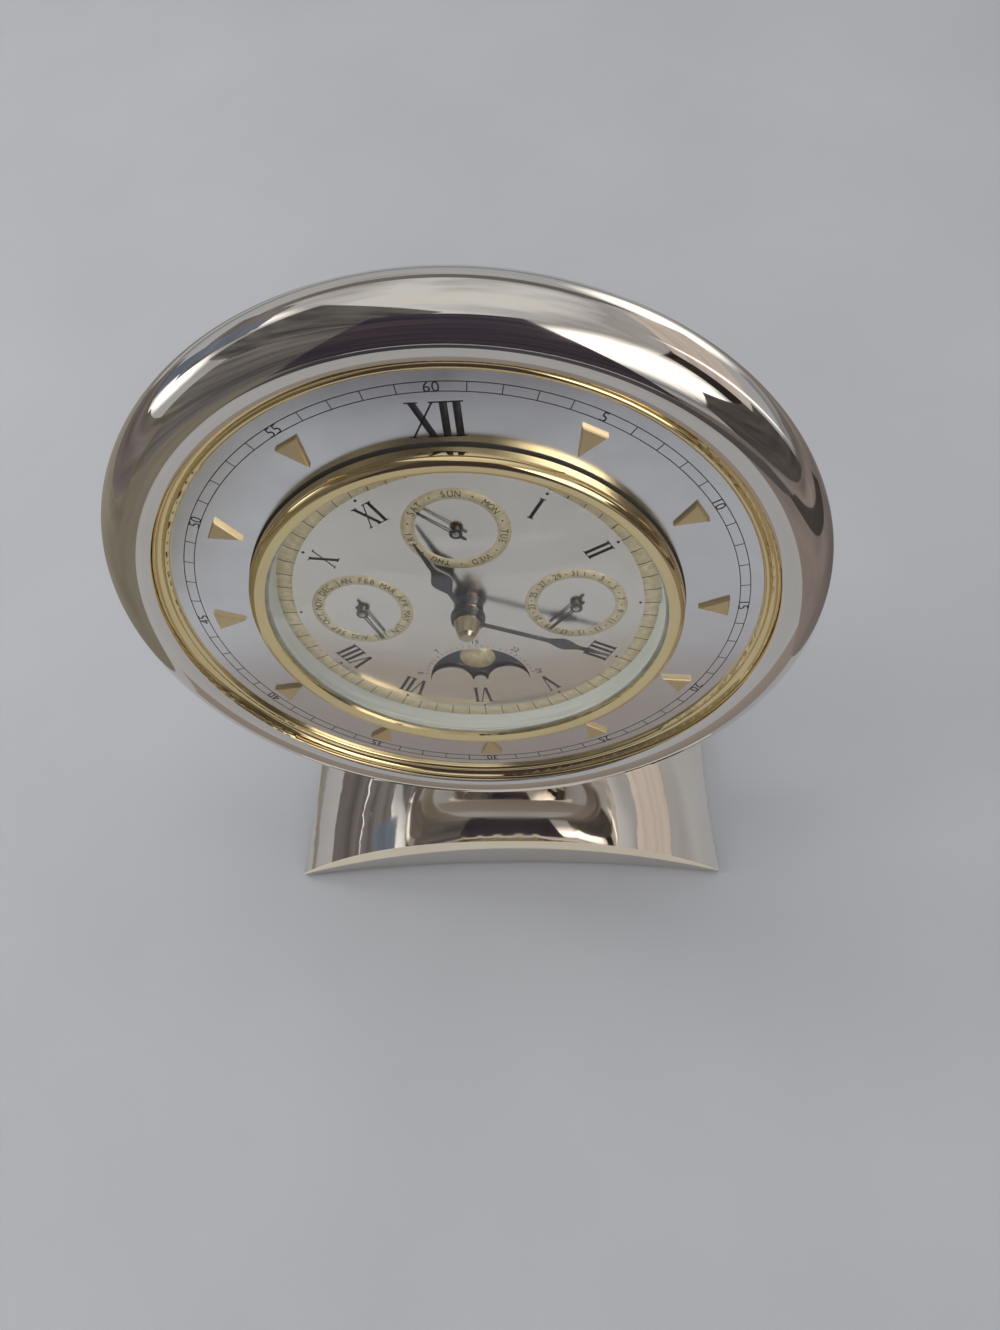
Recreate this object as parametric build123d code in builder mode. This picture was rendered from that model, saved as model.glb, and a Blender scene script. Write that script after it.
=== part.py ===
from build123d import *
from math import cos, pi, radians, sin
import os

os.makedirs("parts", exist_ok=True)

# Moon phase desk clock in millimetres.
# +Z is up, +Y points to the back, +X is right as seen from the front.
# The origin is the centre of the foot's outline on the table.
# In a turned section the first number is the radius about the dial's axis and
# the second is the depth: zero at the outer dial's face, positive to the viewer.

# Whole clock
dial_height = 127.4
dial_forward = 14.0
lean_angle = 10.5
cut_over = 2.0
seat_gap = 0.05
running_gap = 0.05

# Pedestal
foot_width = 141.6
foot_depth = 88.0
foot_front_hollow = 4.2
foot_side_hollow = 3.5
foot_lift = 0.6
foot_rim = 2.6
crown_height = 24.0
crown_fullness_share = 2.9
swell_height = 5.6
swell_sharpness_share = 1.5
section_reach_share = 1.02
section_x_shares = (0.21, 0.42, 0.62, 0.8, 0.93)
section_y_shares = (-1.05, -0.8, -0.6, -0.4, -0.2, 0.0, 0.2, 0.4, 0.6, 0.8, 1.05)
neck_half_width = 32.0
neck_half_depth = 8.5
neck_shift = 1.0
neck_root_spread = 5.0
neck_root_height = 27.0
neck_straight_height = 44.0
neck_bend_share = 0.45
neck_bend_spread_share = 0.27
neck_top_height = 74.0
pad_inset = 4.0
pad_thickness = 1.6
pad_recess = pad_thickness - foot_lift

# Bolts that hold the head on the neck
bolt_radius = 2.5
bolt_spacing = 32.0
bolt_clearance = 0.2
bolt_hole_radius = bolt_radius + bolt_clearance
bolt_head_radius = 4.4
bolt_head_height = 3.0
bolt_seat_height = 12.0
bolt_tip_height = 68.0

# Polished case ring
ring_radius = 77.0
ring_section_radius = 8.8
ring_depth = -5.0
ring_wall = 2.0
ring_bore_radius = 73.5
ring_post_wall = 1.8
ring_back = -10.2
ledge_radius = 69.0
ledge_thickness = 2.2
boss_count = 6
boss_circle_radius = 78.3
boss_radius = 2.8

# Rear rim and drum
rim_wall = 2.0
rim_back = -13.5
drum_wall = 2.0
drum_radius = 66.0
drum_start = -15.2
drum_back = -37.0
drum_corner = 3.0
drum_flange_radius = 71.5
drum_flange_thickness = 1.0
back_opening_radius = 50.0
opening_lip_width = 2.4
opening_lip_height = 1.2
bolt_block_width = 46.0
bolt_block_depth = 15.0
bolt_block_height = 10.5
bolt_block_middle = -25.0

# Screws of the rear rim
case_screw_radius = 1.25
case_screw_length = 8.0
case_screw_head_radius = 2.3
case_screw_head_height = 1.4

# Outer dial, trim and markers
chapter_thickness = 1.2
chapter_hole_radius = 50.4
trim_inner_radius = 69.8
trim_bead_width = 1.9
trim_bead_height = 1.1
trim_edge_height = 0.45
trim_outer_height = 1.7
marker_thickness = 1.0
marker_tip_radius = 54.9
marker_base_radius = 62.1
marker_half_width = 2.95
marker_edge = 0.25
marker_slope = 45.0
hour_count = 12

# Bezel, crystal and the ring below it
gasket_thickness = 0.45
gasket_radius = 52.0
bezel_radius = 51.7
bezel_shoulder = 2.5
bezel_crest_radius = 49.9
bezel_crest = 4.6
bezel_lip_radius = 47.8
bezel_lip_top = 4.1
bezel_lip_bottom = 3.15
bezel_bore_radius = 48.8
bezel_tube_radius = 50.3
bezel_tube_end = -8.8
chapter_nut_radius = 56.0
chapter_nut_thickness = 3.0
spanner_slot_width = 4.0
spanner_slot_depth = 1.2
spanner_slot_count = 4
insert_radius = bezel_bore_radius - seat_gap
crystal_flange_thickness = 1.5
crystal_dome_radius = 47.7
crystal_thickness = 1.5
crystal_apex = 9.6
seal_thickness = 0.4
seal_width = 1.8
rehaut_top_radius = 47.0
rehaut_foot_radius = 45.8

# Inner dial
dial_depth = -2.3
dial_thickness = 0.5
subdial_offset = 26.0
arbor_hole_radius = 0.9
eyelet_radius = 3.55
eyelet_bore_radius = 2.7
eyelet_barrel_radius = 3.15
eyelet_height = 1.3
eyelet_flange = 0.35
moon_centre = -29.4
moon_window_radius = 13.2
moon_hump_radius = 5.5
moon_hump_offset = 7.6
moon_hub_hump_radius = 1.7

# Calendar plate and motion work
gear_module = 0.5
hour_gear_module = 0.48
cannon_teeth = 12
minute_wheel_teeth = 36
minute_pinion_teeth = 10
hour_wheel_teeth = 40
setting_teeth = 12
addendum_share = 0.9
dedendum_share = 1.15
tooth_root_share = 0.27
tooth_tip_share = 0.11
train_angle = 45.0
hour_wheel_front = -3.3
hour_wheel_thickness = 0.6
cannon_front = -4.7
cannon_thickness = 0.6
minute_wheel_front = -4.75
minute_wheel_thickness = 0.45
spacer_thickness = 2.8
spacer_width = 3.4
plate_thickness = 1.2
plate_front = dial_depth - dial_thickness - spacer_thickness
plate_back = plate_front - plate_thickness
ring_nut_thickness = 1.6
ring_nut_width = 3.7

# Centre stack
minute_tube_radius = 1.7
minute_pivot_radius = 0.8
minute_stub_radius = 1.0
minute_stub_top = 5.6
hour_pipe_radius = 2.6
hour_hand_depth = 0.5
hour_hand_thickness = 0.5
hour_collar_radius = 3.1
hour_collar_bottom = -0.8
hour_hub_radius = 4.2
hour_hub_height = 1.2
hub_edge = 0.2
minute_hand_depth = 1.9
minute_hand_thickness = 0.5
minute_hub_radius = 4.0
cap_bottom_radius = 3.3
cap_top_radius = 2.2
cap_top = 7.4
cap_rim = 0.8

# Hands as photographed: azimuth clockwise from twelve
minute_azimuth = 113.0
hour_azimuth = 339.4
hour_stem_half = 0.6
hour_leaf_start = 9.4
hour_leaf_middle = 13.4
hour_leaf_end = 19.0
hour_leaf_half = 2.5
hour_tip = 26.8
minute_stem_half = 0.5
minute_leaf_start = 20.6
minute_leaf_middle = 24.8
minute_leaf_end = 30.0
minute_leaf_half = 1.7
minute_tip = 36.5
hand_tip_half = 0.15
leaf_bulge_share = 0.72

# Calendar pointers and their star wheels
pointer_depth = -1.25
pointer_thickness = 0.3
pointer_length = 10.35
pointer_tail = 3.0
pointer_hub_radius = 1.5
pointer_half = 0.45
pointer_tip_half = 0.3
pointer_wall = 0.2
pointer_tail_half = 0.32
pointer_arbor_radius = 0.75
pointer_arbor_top = -0.75
day_azimuth = 311.1
date_azimuth = 221.3
month_azimuth = 159.9
star_front = -4.0
star_thickness = 0.4
star_hub_radius = 1.6
day_star_radius = 7.0
date_star_radius = 8.4
month_star_radius = 7.5
star_tooth_depth = 1.5
day_teeth = 7
date_teeth = 31
month_teeth = 12
star_root_share = 0.48
star_tip_share = 0.1
moon_disc_radius = 14.4
moon_disc_front = -3.2
moon_disc_thickness = 0.4
moon_teeth = 59
moon_tooth_depth = 0.6
moon_post_radius = 1.0
moon_hub_radius = 1.7

# Movement housing
housing_width = 62.0
housing_corner = 6.0
housing_back = -27.0
battery_radius = 7.1
battery_length = 49.2
battery_nub_radius = 2.7
battery_nub_length = 1.4
battery_height = -17.0
bay_clearance = 0.4
bay_length = 52.0
contact_thickness = 0.4
contact_width = 9.0
contact_height = 12.0
housing_screw_offset = 27.6
housing_screw_radius = 0.95
housing_screw_head_radius = 1.9
housing_screw_head_height = 1.0
setting_arbor_radius = 1.1
knob_radius = 5.5
knob_front = -28.0
knob_back = -33.0
knob_flutes = 12
knob_flute_radius = 0.6
knob_hole_clearance = 0.1
corrector_spots = ((-22.0, 22.0), (-8.0, 22.0), (-22.0, 8.0), (-8.0, 8.0))
corrector_names = ("day", "date", "month", "moon")
corrector_head_radius = 2.6
corrector_rod_radius = 1.5
corrector_back = -29.6
corrector_shoulder = -23.4
corrector_well = -21.0
corrector_front = -8.6

# Planes of the leaning head
dial_plane = Plane(
    origin=(0, -dial_forward, dial_height),
    x_dir=(1, 0, 0),
    z_dir=(0, -cos(radians(lean_angle)), sin(radians(lean_angle))),
)


def turning_plane(x, y):
    """Half-section plane through the dial point x, y: radius, then depth."""
    return Plane(
        origin=dial_plane.from_local_coords((x, y, 0)),
        x_dir=dial_plane.x_dir,
        z_dir=-dial_plane.y_dir,
    )


def pointing_plane(x, y, depth, azimuth):
    """Drawing plane at the dial point x, y whose y axis points to this azimuth."""
    turn = radians(azimuth)
    return Plane(
        origin=dial_plane.from_local_coords((x, y, depth)),
        x_dir=dial_plane.x_dir * cos(turn) - dial_plane.y_dir * sin(turn),
        z_dir=dial_plane.z_dir,
    )


def turning_axis(plane):
    """The axis that a half section on this plane is turned about."""
    return Axis(plane.origin, plane.y_dir)


def toothed_outline(centre, teeth, root, tip, root_share, tip_share, first_angle):
    """Points of a toothed wheel; shares are half widths in pitches."""
    points = []
    for tooth in range(teeth):
        middle = first_angle + 360 * tooth / teeth
        for radius, share in (
            (root, -root_share),
            (tip, -tip_share),
            (tip, tip_share),
            (root, root_share),
        ):
            angle = radians(middle + share * 360 / teeth)
            points.append((centre[0] + radius * cos(angle), centre[1] + radius * sin(angle)))
    return points


def gear_outline(centre, teeth, module, first_angle):
    """Points of a clock wheel with straight-flanked teeth of this module."""
    pitch_radius = teeth * module / 2
    return toothed_outline(
        centre,
        teeth,
        pitch_radius - dedendum_share * module,
        pitch_radius + addendum_share * module,
        tooth_root_share,
        tooth_tip_share,
        first_angle,
    )


def arch_height(across, along):
    """Height of the pedestal's skin; across and along run from -1 to 1."""
    arch = foot_rim + (crown_height - foot_rim) * (1 - abs(across) ** crown_fullness_share)
    rise = max(0.0, (1 + cos(pi * min(1.0, abs(along)))) / 2) ** swell_sharpness_share
    spread = (1 + cos(pi * min(1.0, abs(across)))) / 2
    return foot_lift + arch + swell_height * rise * spread


# PEDESTAL GROUP

# Cast pedestal: an arched skin that swells up to the neck, hollowed on all four sides
across_shares = (
    [-section_reach_share]
    + [-share for share in reversed(section_x_shares)]
    + [0.0]
    + list(section_x_shares)
    + [section_reach_share]
)
with BuildPart() as pedestal:
    for along in section_y_shares:
        with BuildSketch(Plane.XZ.offset(-along * foot_depth / 2)):
            with BuildLine():
                skin = [
                    (share * foot_width / 2, arch_height(share, along))
                    for share in across_shares
                ]
                Spline(*skin)
                Polyline(
                    skin[-1],
                    (section_reach_share * foot_width / 2, foot_lift),
                    (-section_reach_share * foot_width / 2, foot_lift),
                    skin[0],
                )
            make_face()
    loft()
    with BuildSketch(Plane.XY):
        with BuildLine():
            right_front = (foot_width / 2, -foot_depth / 2)
            right_back = (foot_width / 2, foot_depth / 2)
            left_back = (-foot_width / 2, foot_depth / 2)
            left_front = (-foot_width / 2, -foot_depth / 2)
            ThreePointArc(
                left_front, (0, foot_front_hollow - foot_depth / 2), right_front
            )
            ThreePointArc(
                right_front, (foot_width / 2 - foot_side_hollow, 0), right_back
            )
            ThreePointArc(right_back, (0, foot_depth / 2 - foot_front_hollow), left_back)
            ThreePointArc(left_back, (foot_side_hollow - foot_width / 2, 0), left_front)
        make_face()
    extrude(amount=crown_height + swell_height + foot_rim + cut_over, mode=Mode.INTERSECT)
    neck_bend_height = neck_root_height + neck_bend_share * (neck_straight_height - neck_root_height)
    for level, spread in (
        (neck_root_height, neck_root_spread),
        (neck_bend_height, neck_root_spread * neck_bend_spread_share),
        (neck_straight_height, 0),
        (neck_top_height, 0),
    ):
        with BuildSketch(Plane.XY.offset(level)):
            with Locations((0, -neck_shift)):
                Ellipse(neck_half_width + spread, neck_half_depth + spread)
    loft()
    saddle_plane = turning_plane(0, 0)
    with BuildSketch(saddle_plane):
        with BuildLine():
            Polyline(
                (0, cut_over),
                (drum_radius + seat_gap, cut_over),
                (drum_radius + seat_gap, drum_back - neck_half_depth),
                (0, drum_back - neck_half_depth),
                close=True,
            )
        make_face()
    revolve(axis=turning_axis(saddle_plane), mode=Mode.SUBTRACT)
    with BuildSketch(Plane.XY.offset(foot_lift)):
        with BuildLine():
            inner_front = (foot_width / 2 - pad_inset, pad_inset - foot_depth / 2)
            inner_back = (foot_width / 2 - pad_inset, foot_depth / 2 - pad_inset)
            outer_back = (pad_inset - foot_width / 2, foot_depth / 2 - pad_inset)
            outer_front = (pad_inset - foot_width / 2, pad_inset - foot_depth / 2)
            ThreePointArc(
                outer_front, (0, foot_front_hollow + pad_inset - foot_depth / 2), inner_front
            )
            ThreePointArc(
                inner_front, (foot_width / 2 - foot_side_hollow - pad_inset, 0), inner_back
            )
            ThreePointArc(
                inner_back, (0, foot_depth / 2 - foot_front_hollow - pad_inset), outer_back
            )
            ThreePointArc(
                outer_back, (foot_side_hollow + pad_inset - foot_width / 2, 0), outer_front
            )
        make_face()
    extrude(amount=pad_recess, mode=Mode.SUBTRACT)
    with BuildSketch(Plane.XY.offset(foot_lift)):
        with GridLocations(bolt_spacing, 0, 2, 1):
            with Locations((0, -neck_shift)):
                Circle(bolt_head_radius + running_gap)
    extrude(amount=bolt_seat_height - foot_lift, mode=Mode.SUBTRACT)
    with BuildSketch(Plane.XY.offset(foot_lift)):
        with GridLocations(bolt_spacing, 0, 2, 1):
            with Locations((0, -neck_shift)):
                Circle(bolt_hole_radius)
    extrude(amount=neck_top_height, mode=Mode.SUBTRACT)
pedestal.part.label = "pedestal"
export_step(pedestal.part, "parts/pedestal.step")

# Felt pad in the recess under the foot; the clock stands on it
with BuildPart() as foot_pad:
    with BuildSketch(Plane.XY):
        with BuildLine():
            pad_side = foot_width / 2 - pad_inset - seat_gap
            pad_end = foot_depth / 2 - pad_inset - seat_gap
            ThreePointArc(
                (-pad_side, -pad_end), (0, foot_front_hollow - pad_end), (pad_side, -pad_end)
            )
            ThreePointArc(
                (pad_side, -pad_end), (pad_side - foot_side_hollow, 0), (pad_side, pad_end)
            )
            ThreePointArc(
                (pad_side, pad_end), (0, pad_end - foot_front_hollow), (-pad_side, pad_end)
            )
            ThreePointArc(
                (-pad_side, pad_end), (foot_side_hollow - pad_side, 0), (-pad_side, -pad_end)
            )
        make_face()
    extrude(amount=pad_thickness)
foot_pad.part.label = "foot_pad"
export_step(foot_pad.part, "parts/foot_pad.step")

# Two socket bolts up through the neck into the drum
with BuildPart() as neck_bolts:
    with BuildSketch(Plane.XY.offset(bolt_seat_height - bolt_head_height)):
        with GridLocations(bolt_spacing, 0, 2, 1):
            with Locations((0, -neck_shift)):
                Circle(bolt_head_radius)
    extrude(amount=bolt_head_height)
    with BuildSketch(Plane.XY.offset(bolt_seat_height)):
        with GridLocations(bolt_spacing, 0, 2, 1):
            with Locations((0, -neck_shift)):
                Circle(bolt_radius)
    extrude(amount=bolt_tip_height - bolt_seat_height)
    with BuildSketch(Plane.XY.offset(bolt_seat_height - bolt_head_height)):
        with GridLocations(bolt_spacing, 0, 2, 1):
            with Locations((0, -neck_shift)):
                RegularPolygon(bolt_radius * 0.9, 6)
    extrude(amount=bolt_head_height * 0.6, mode=Mode.SUBTRACT)
neck_bolts.part.label = "neck_bolts"
export_step(neck_bolts.part, "parts/neck_bolts.step")

# CASE GROUP

centre_plane = turning_plane(0, 0)
centre_axis = turning_axis(centre_plane)
ring_inner_radius = ring_section_radius - ring_wall
post_radius = ring_bore_radius + ring_post_wall
ring_back_drop = ring_depth - ring_back
ring_rim_radius = ring_radius + (ring_section_radius**2 - ring_back_drop**2) ** 0.5
ring_bore_front = ring_depth + (ring_section_radius**2 - (ring_radius - ring_bore_radius) ** 2) ** 0.5
hollow_rim_radius = ring_radius + (ring_inner_radius**2 - ring_back_drop**2) ** 0.5
hollow_top = ring_depth + (ring_inner_radius**2 - (ring_radius - post_radius) ** 2) ** 0.5

# Hollow round ring with a bore wall and a ledge for the outer dial
with BuildPart() as case_ring:
    with BuildSketch(centre_plane):
        with BuildLine():
            ThreePointArc(
                (ring_bore_radius, ring_bore_front),
                (ring_radius + ring_section_radius * sin(pi / 4), ring_depth + ring_section_radius * cos(pi / 4)),
                (ring_rim_radius, ring_back),
            )
            Line((ring_rim_radius, ring_back), (hollow_rim_radius, ring_back))
            ThreePointArc(
                (hollow_rim_radius, ring_back),
                (ring_radius + ring_inner_radius * sin(pi / 4), ring_depth + ring_inner_radius * cos(pi / 4)),
                (post_radius, hollow_top),
            )
            Polyline(
                (post_radius, hollow_top),
                (post_radius, ring_back),
                (ring_bore_radius, ring_back),
                (ring_bore_radius, -chapter_thickness - ledge_thickness),
                (ledge_radius, -chapter_thickness - ledge_thickness),
                (ledge_radius, -chapter_thickness),
                (ring_bore_radius, -chapter_thickness),
                (ring_bore_radius, ring_bore_front),
            )
        make_face()
    revolve(axis=centre_axis)
    with BuildSketch(dial_plane.offset(ring_back)):
        with PolarLocations(boss_circle_radius, boss_count, start_angle=360 / boss_count / 2):
            Circle(boss_radius)
    extrude(amount=ring_depth + ring_inner_radius + ring_wall / 4 - ring_back)
    with BuildSketch(dial_plane.offset(ring_back)):
        with PolarLocations(boss_circle_radius, boss_count, start_angle=360 / boss_count / 2):
            Circle(case_screw_radius + running_gap)
    extrude(amount=case_screw_length, mode=Mode.SUBTRACT)
case_ring.part.label = "case_ring"
export_step(case_ring.part, "parts/case_ring.step")

# Rear rim: a dished ring that closes the back of the case ring
rim_back_radius = ring_radius + (ring_section_radius**2 - (rim_back - ring_depth) ** 2) ** 0.5
rim_middle = (ring_back + rim_back) / 2
rim_middle_radius = ring_radius + (ring_section_radius**2 - (rim_middle - ring_depth) ** 2) ** 0.5
rim_hole_radius = drum_radius + seat_gap
with BuildPart() as rear_rim:
    with BuildSketch(centre_plane):
        with BuildLine():
            ThreePointArc(
                (ring_rim_radius, ring_back),
                (rim_middle_radius, rim_middle),
                (rim_back_radius, rim_back),
            )
            Polyline(
                (rim_back_radius, rim_back),
                (rim_hole_radius, drum_start),
                (rim_hole_radius, ring_back - rim_wall),
                (ring_bore_radius, ring_back - rim_wall),
                (ring_bore_radius, ring_back),
                (ring_rim_radius, ring_back),
            )
        make_face()
    revolve(axis=centre_axis)
    with BuildSketch(dial_plane.offset(ring_back)):
        with PolarLocations(boss_circle_radius, boss_count, start_angle=360 / boss_count / 2):
            Circle(case_screw_radius + running_gap)
    extrude(amount=-ring_section_radius, mode=Mode.SUBTRACT)
    with BuildSketch(dial_plane.offset(ring_back - rim_wall)):
        with PolarLocations(boss_circle_radius, boss_count, start_angle=360 / boss_count / 2):
            Circle(case_screw_head_radius + running_gap)
    extrude(amount=-ring_section_radius, mode=Mode.SUBTRACT)
rear_rim.part.label = "rear_rim"
export_step(rear_rim.part, "parts/rear_rim.step")

# Drum: a turned cup with a front flange, an open back and the bolt block
drum_inner_radius = drum_radius - drum_wall
corner_share = 1 - cos(pi / 4)
with BuildPart() as drum:
    block_plane = Plane(
        origin=dial_plane.from_local_coords((0, -drum_radius, bolt_block_middle)),
        x_dir=dial_plane.x_dir,
        z_dir=dial_plane.y_dir,
    )
    with BuildSketch(block_plane):
        Rectangle(bolt_block_width, bolt_block_depth)
    extrude(amount=bolt_block_height)
    with BuildSketch(centre_plane):
        with BuildLine():
            Polyline(
                (drum_radius - drum_wall / 2, 0),
                (ring_radius, 0),
                (ring_radius, drum_back - cut_over),
                (drum_radius - drum_wall / 2, drum_back - cut_over),
                close=True,
            )
        make_face()
    revolve(axis=centre_axis, mode=Mode.SUBTRACT)
    with BuildSketch(centre_plane):
        with BuildLine():
            Polyline(
                (drum_inner_radius, ring_back - rim_wall + drum_flange_thickness),
                (drum_flange_radius, ring_back - rim_wall + drum_flange_thickness),
                (drum_flange_radius, ring_back - rim_wall),
                (drum_radius, ring_back - rim_wall),
                (drum_radius, drum_back + drum_corner),
            )
            ThreePointArc(
                (drum_radius, drum_back + drum_corner),
                (drum_radius - drum_corner * corner_share, drum_back + drum_corner * corner_share),
                (drum_radius - drum_corner, drum_back),
            )
            Polyline(
                (drum_radius - drum_corner, drum_back),
                (back_opening_radius + opening_lip_width, drum_back),
                (back_opening_radius + opening_lip_width, drum_back - opening_lip_height),
                (back_opening_radius, drum_back - opening_lip_height),
                (back_opening_radius, drum_back + drum_wall),
                (drum_inner_radius, drum_back + drum_wall),
                (drum_inner_radius, ring_back - rim_wall + drum_flange_thickness),
            )
        make_face()
    revolve(axis=centre_axis)
    with BuildSketch(Plane.XY.offset(bolt_tip_height)):
        with GridLocations(bolt_spacing, 0, 2, 1):
            with Locations((0, -neck_shift)):
                Circle(bolt_radius + running_gap)
    extrude(amount=-bolt_tip_height / 2, mode=Mode.SUBTRACT)
drum.part.label = "drum"
export_step(drum.part, "parts/drum.step")

# Screws that pull the rear rim onto the ring
with BuildPart() as case_screws:
    with BuildSketch(dial_plane.offset(ring_back - rim_wall)):
        with PolarLocations(boss_circle_radius, boss_count, start_angle=360 / boss_count / 2):
            Circle(case_screw_head_radius)
    extrude(amount=-case_screw_head_height)
    with BuildSketch(dial_plane.offset(ring_back - rim_wall)):
        with PolarLocations(boss_circle_radius, boss_count, start_angle=360 / boss_count / 2):
            Circle(case_screw_radius)
    extrude(amount=case_screw_length)
case_screws.part.label = "case_screws"
export_step(case_screws.part, "parts/case_screws.step")

# Outer dial: a flat ring plate
with BuildPart() as chapter_plate:
    with BuildSketch(dial_plane.offset(-chapter_thickness)):
        Circle(ring_bore_radius - seat_gap)
        Circle(chapter_hole_radius, mode=Mode.SUBTRACT)
    extrude(amount=chapter_thickness)
chapter_plate.part.label = "chapter_plate"
export_step(chapter_plate.part, "parts/chapter_plate.step")

# Stepped trim ring: a round bead, a valley and a rising outer edge
bead_end = trim_inner_radius + trim_bead_width
trim_outer_radius = ring_bore_radius - seat_gap
with BuildPart() as trim_ring:
    with BuildSketch(centre_plane):
        with BuildLine():
            Line((trim_inner_radius, 0), (trim_inner_radius, trim_edge_height))
            ThreePointArc(
                (trim_inner_radius, trim_edge_height),
                (trim_inner_radius + trim_bead_width / 2, trim_bead_height),
                (bead_end, trim_edge_height),
            )
            ThreePointArc(
                (bead_end, trim_edge_height),
                ((bead_end + trim_outer_radius) / 2 + trim_edge_height / 2, (trim_edge_height + trim_outer_height) / 2 - trim_edge_height / 2),
                (trim_outer_radius, trim_outer_height),
            )
            Polyline(
                (trim_outer_radius, trim_outer_height), (trim_outer_radius, 0), (trim_inner_radius, 0)
            )
        make_face()
    revolve(axis=centre_axis)
trim_ring.part.label = "trim_ring"
export_step(trim_ring.part, "parts/trim_ring.step")

# Eleven applied wedge markers; twelve is a printed numeral
marker_wall = marker_thickness - marker_edge
with BuildPart() as hour_markers:
    for level, rise, slope in ((0, marker_wall, 0), (marker_wall, marker_edge, marker_slope)):
        for hour in range(1, hour_count):
            with BuildSketch(pointing_plane(0, 0, level, 360 * hour / hour_count)):
                with BuildLine():
                    Polyline(
                        (0, marker_tip_radius),
                        (marker_half_width, marker_base_radius),
                        (-marker_half_width, marker_base_radius),
                        close=True,
                    )
                make_face()
        extrude(amount=rise, taper=slope)
hour_markers.part.label = "hour_markers"
export_step(hour_markers.part, "parts/hour_markers.step")

# BEZEL AND CRYSTAL GROUP

# Black gasket below the bezel's flange
with BuildPart() as bezel_gasket:
    with BuildSketch(dial_plane):
        Circle(gasket_radius)
        Circle(chapter_hole_radius, mode=Mode.SUBTRACT)
    extrude(amount=gasket_thickness)
bezel_gasket.part.label = "bezel_gasket"
export_step(bezel_gasket.part, "parts/bezel_gasket.step")

# Bezel: a rounded crest over a tube that holds the whole insert
with BuildPart() as bezel_ring:
    with BuildSketch(centre_plane):
        with BuildLine():
            Line((bezel_radius, gasket_thickness), (bezel_radius, bezel_shoulder))
            TangentArc(
                (bezel_radius, bezel_shoulder), (bezel_crest_radius, bezel_crest), tangent=(0, 1)
            )
            Polyline(
                (bezel_crest_radius, bezel_crest),
                (bezel_lip_radius, bezel_lip_top),
                (bezel_lip_radius, bezel_lip_bottom),
                (bezel_bore_radius, bezel_lip_bottom),
                (bezel_bore_radius, bezel_tube_end),
                (bezel_tube_radius, bezel_tube_end),
                (bezel_tube_radius, gasket_thickness),
                (bezel_radius, gasket_thickness),
            )
        make_face()
    revolve(axis=centre_axis)
bezel_ring.part.label = "bezel_ring"
export_step(bezel_ring.part, "parts/bezel_ring.step")

# Ring nut that clamps the bezel to the outer dial from behind
with BuildPart() as chapter_nut:
    with BuildSketch(dial_plane.offset(-chapter_thickness)):
        Circle(chapter_nut_radius)
        Circle(bezel_tube_radius + seat_gap, mode=Mode.SUBTRACT)
    extrude(amount=-chapter_nut_thickness)
    with BuildSketch(dial_plane.offset(-chapter_thickness - chapter_nut_thickness)):
        with PolarLocations(chapter_nut_radius, spanner_slot_count):
            Rectangle(spanner_slot_width, spanner_slot_width)
    extrude(amount=spanner_slot_depth, mode=Mode.SUBTRACT)
chapter_nut.part.label = "chapter_nut"
export_step(chapter_nut.part, "parts/chapter_nut.step")

# Domed crystal with a flat flange under the bezel's lip
flange_top = bezel_lip_bottom
flange_bottom = flange_top - crystal_flange_thickness
dome_rim_radius = crystal_dome_radius - running_gap
with BuildPart() as crystal:
    with BuildSketch(centre_plane):
        with BuildLine():
            TangentArc((0, crystal_apex), (dome_rim_radius, flange_top), tangent=(1, 0))
            Polyline(
                (dome_rim_radius, flange_top),
                (insert_radius, flange_top),
                (insert_radius, flange_bottom),
                (dome_rim_radius - crystal_thickness, flange_bottom),
            )
            TangentArc(
                (0, crystal_apex - crystal_thickness),
                (dome_rim_radius - crystal_thickness, flange_bottom),
                tangent=(1, 0),
            )
            Line((0, crystal_apex - crystal_thickness), (0, crystal_apex))
        make_face()
    revolve(axis=centre_axis)
crystal.part.label = "crystal"
export_step(crystal.part, "parts/crystal.step")

# Seal between the crystal and the ring below it
seal_bottom = flange_bottom - seal_thickness
with BuildPart() as crystal_seal:
    with BuildSketch(dial_plane.offset(seal_bottom)):
        Circle(insert_radius)
        Circle(insert_radius - seal_width, mode=Mode.SUBTRACT)
    extrude(amount=seal_thickness)
crystal_seal.part.label = "crystal_seal"
export_step(crystal_seal.part, "parts/crystal_seal.step")

# Pale sloping ring between the crystal and the inner dial
with BuildPart() as rehaut:
    with BuildSketch(centre_plane):
        with BuildLine():
            Polyline(
                (rehaut_foot_radius, dial_depth),
                (insert_radius, dial_depth),
                (insert_radius, seal_bottom),
                (rehaut_top_radius, seal_bottom),
                close=True,
            )
        make_face()
    revolve(axis=centre_axis)
rehaut.part.label = "rehaut"
export_step(rehaut.part, "parts/rehaut.step")

# DIAL GROUP

subdial_spots = {
    "day": (0, subdial_offset),
    "date": (subdial_offset, 0),
    "month": (-subdial_offset, 0),
}

# Inner dial with the moon window and the arbor holes
with BuildPart() as inner_dial:
    with BuildSketch(dial_plane.offset(dial_depth - dial_thickness)):
        Circle(insert_radius)
        Circle(eyelet_barrel_radius + seat_gap, mode=Mode.SUBTRACT)
        for spot in subdial_spots.values():
            with Locations(spot):
                Circle(arbor_hole_radius, mode=Mode.SUBTRACT)
        with BuildSketch(mode=Mode.SUBTRACT):
            with Locations((0, moon_centre)):
                Circle(moon_window_radius)
            with Locations((0, moon_centre - moon_window_radius)):
                Rectangle(
                    2 * moon_window_radius + cut_over, 2 * moon_window_radius, mode=Mode.SUBTRACT
                )
            with Locations((-moon_hump_offset, moon_centre), (moon_hump_offset, moon_centre)):
                Circle(moon_hump_radius, mode=Mode.SUBTRACT)
            with Locations((0, moon_centre)):
                Circle(moon_hub_hump_radius, mode=Mode.SUBTRACT)
    extrude(amount=dial_thickness)
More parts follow.
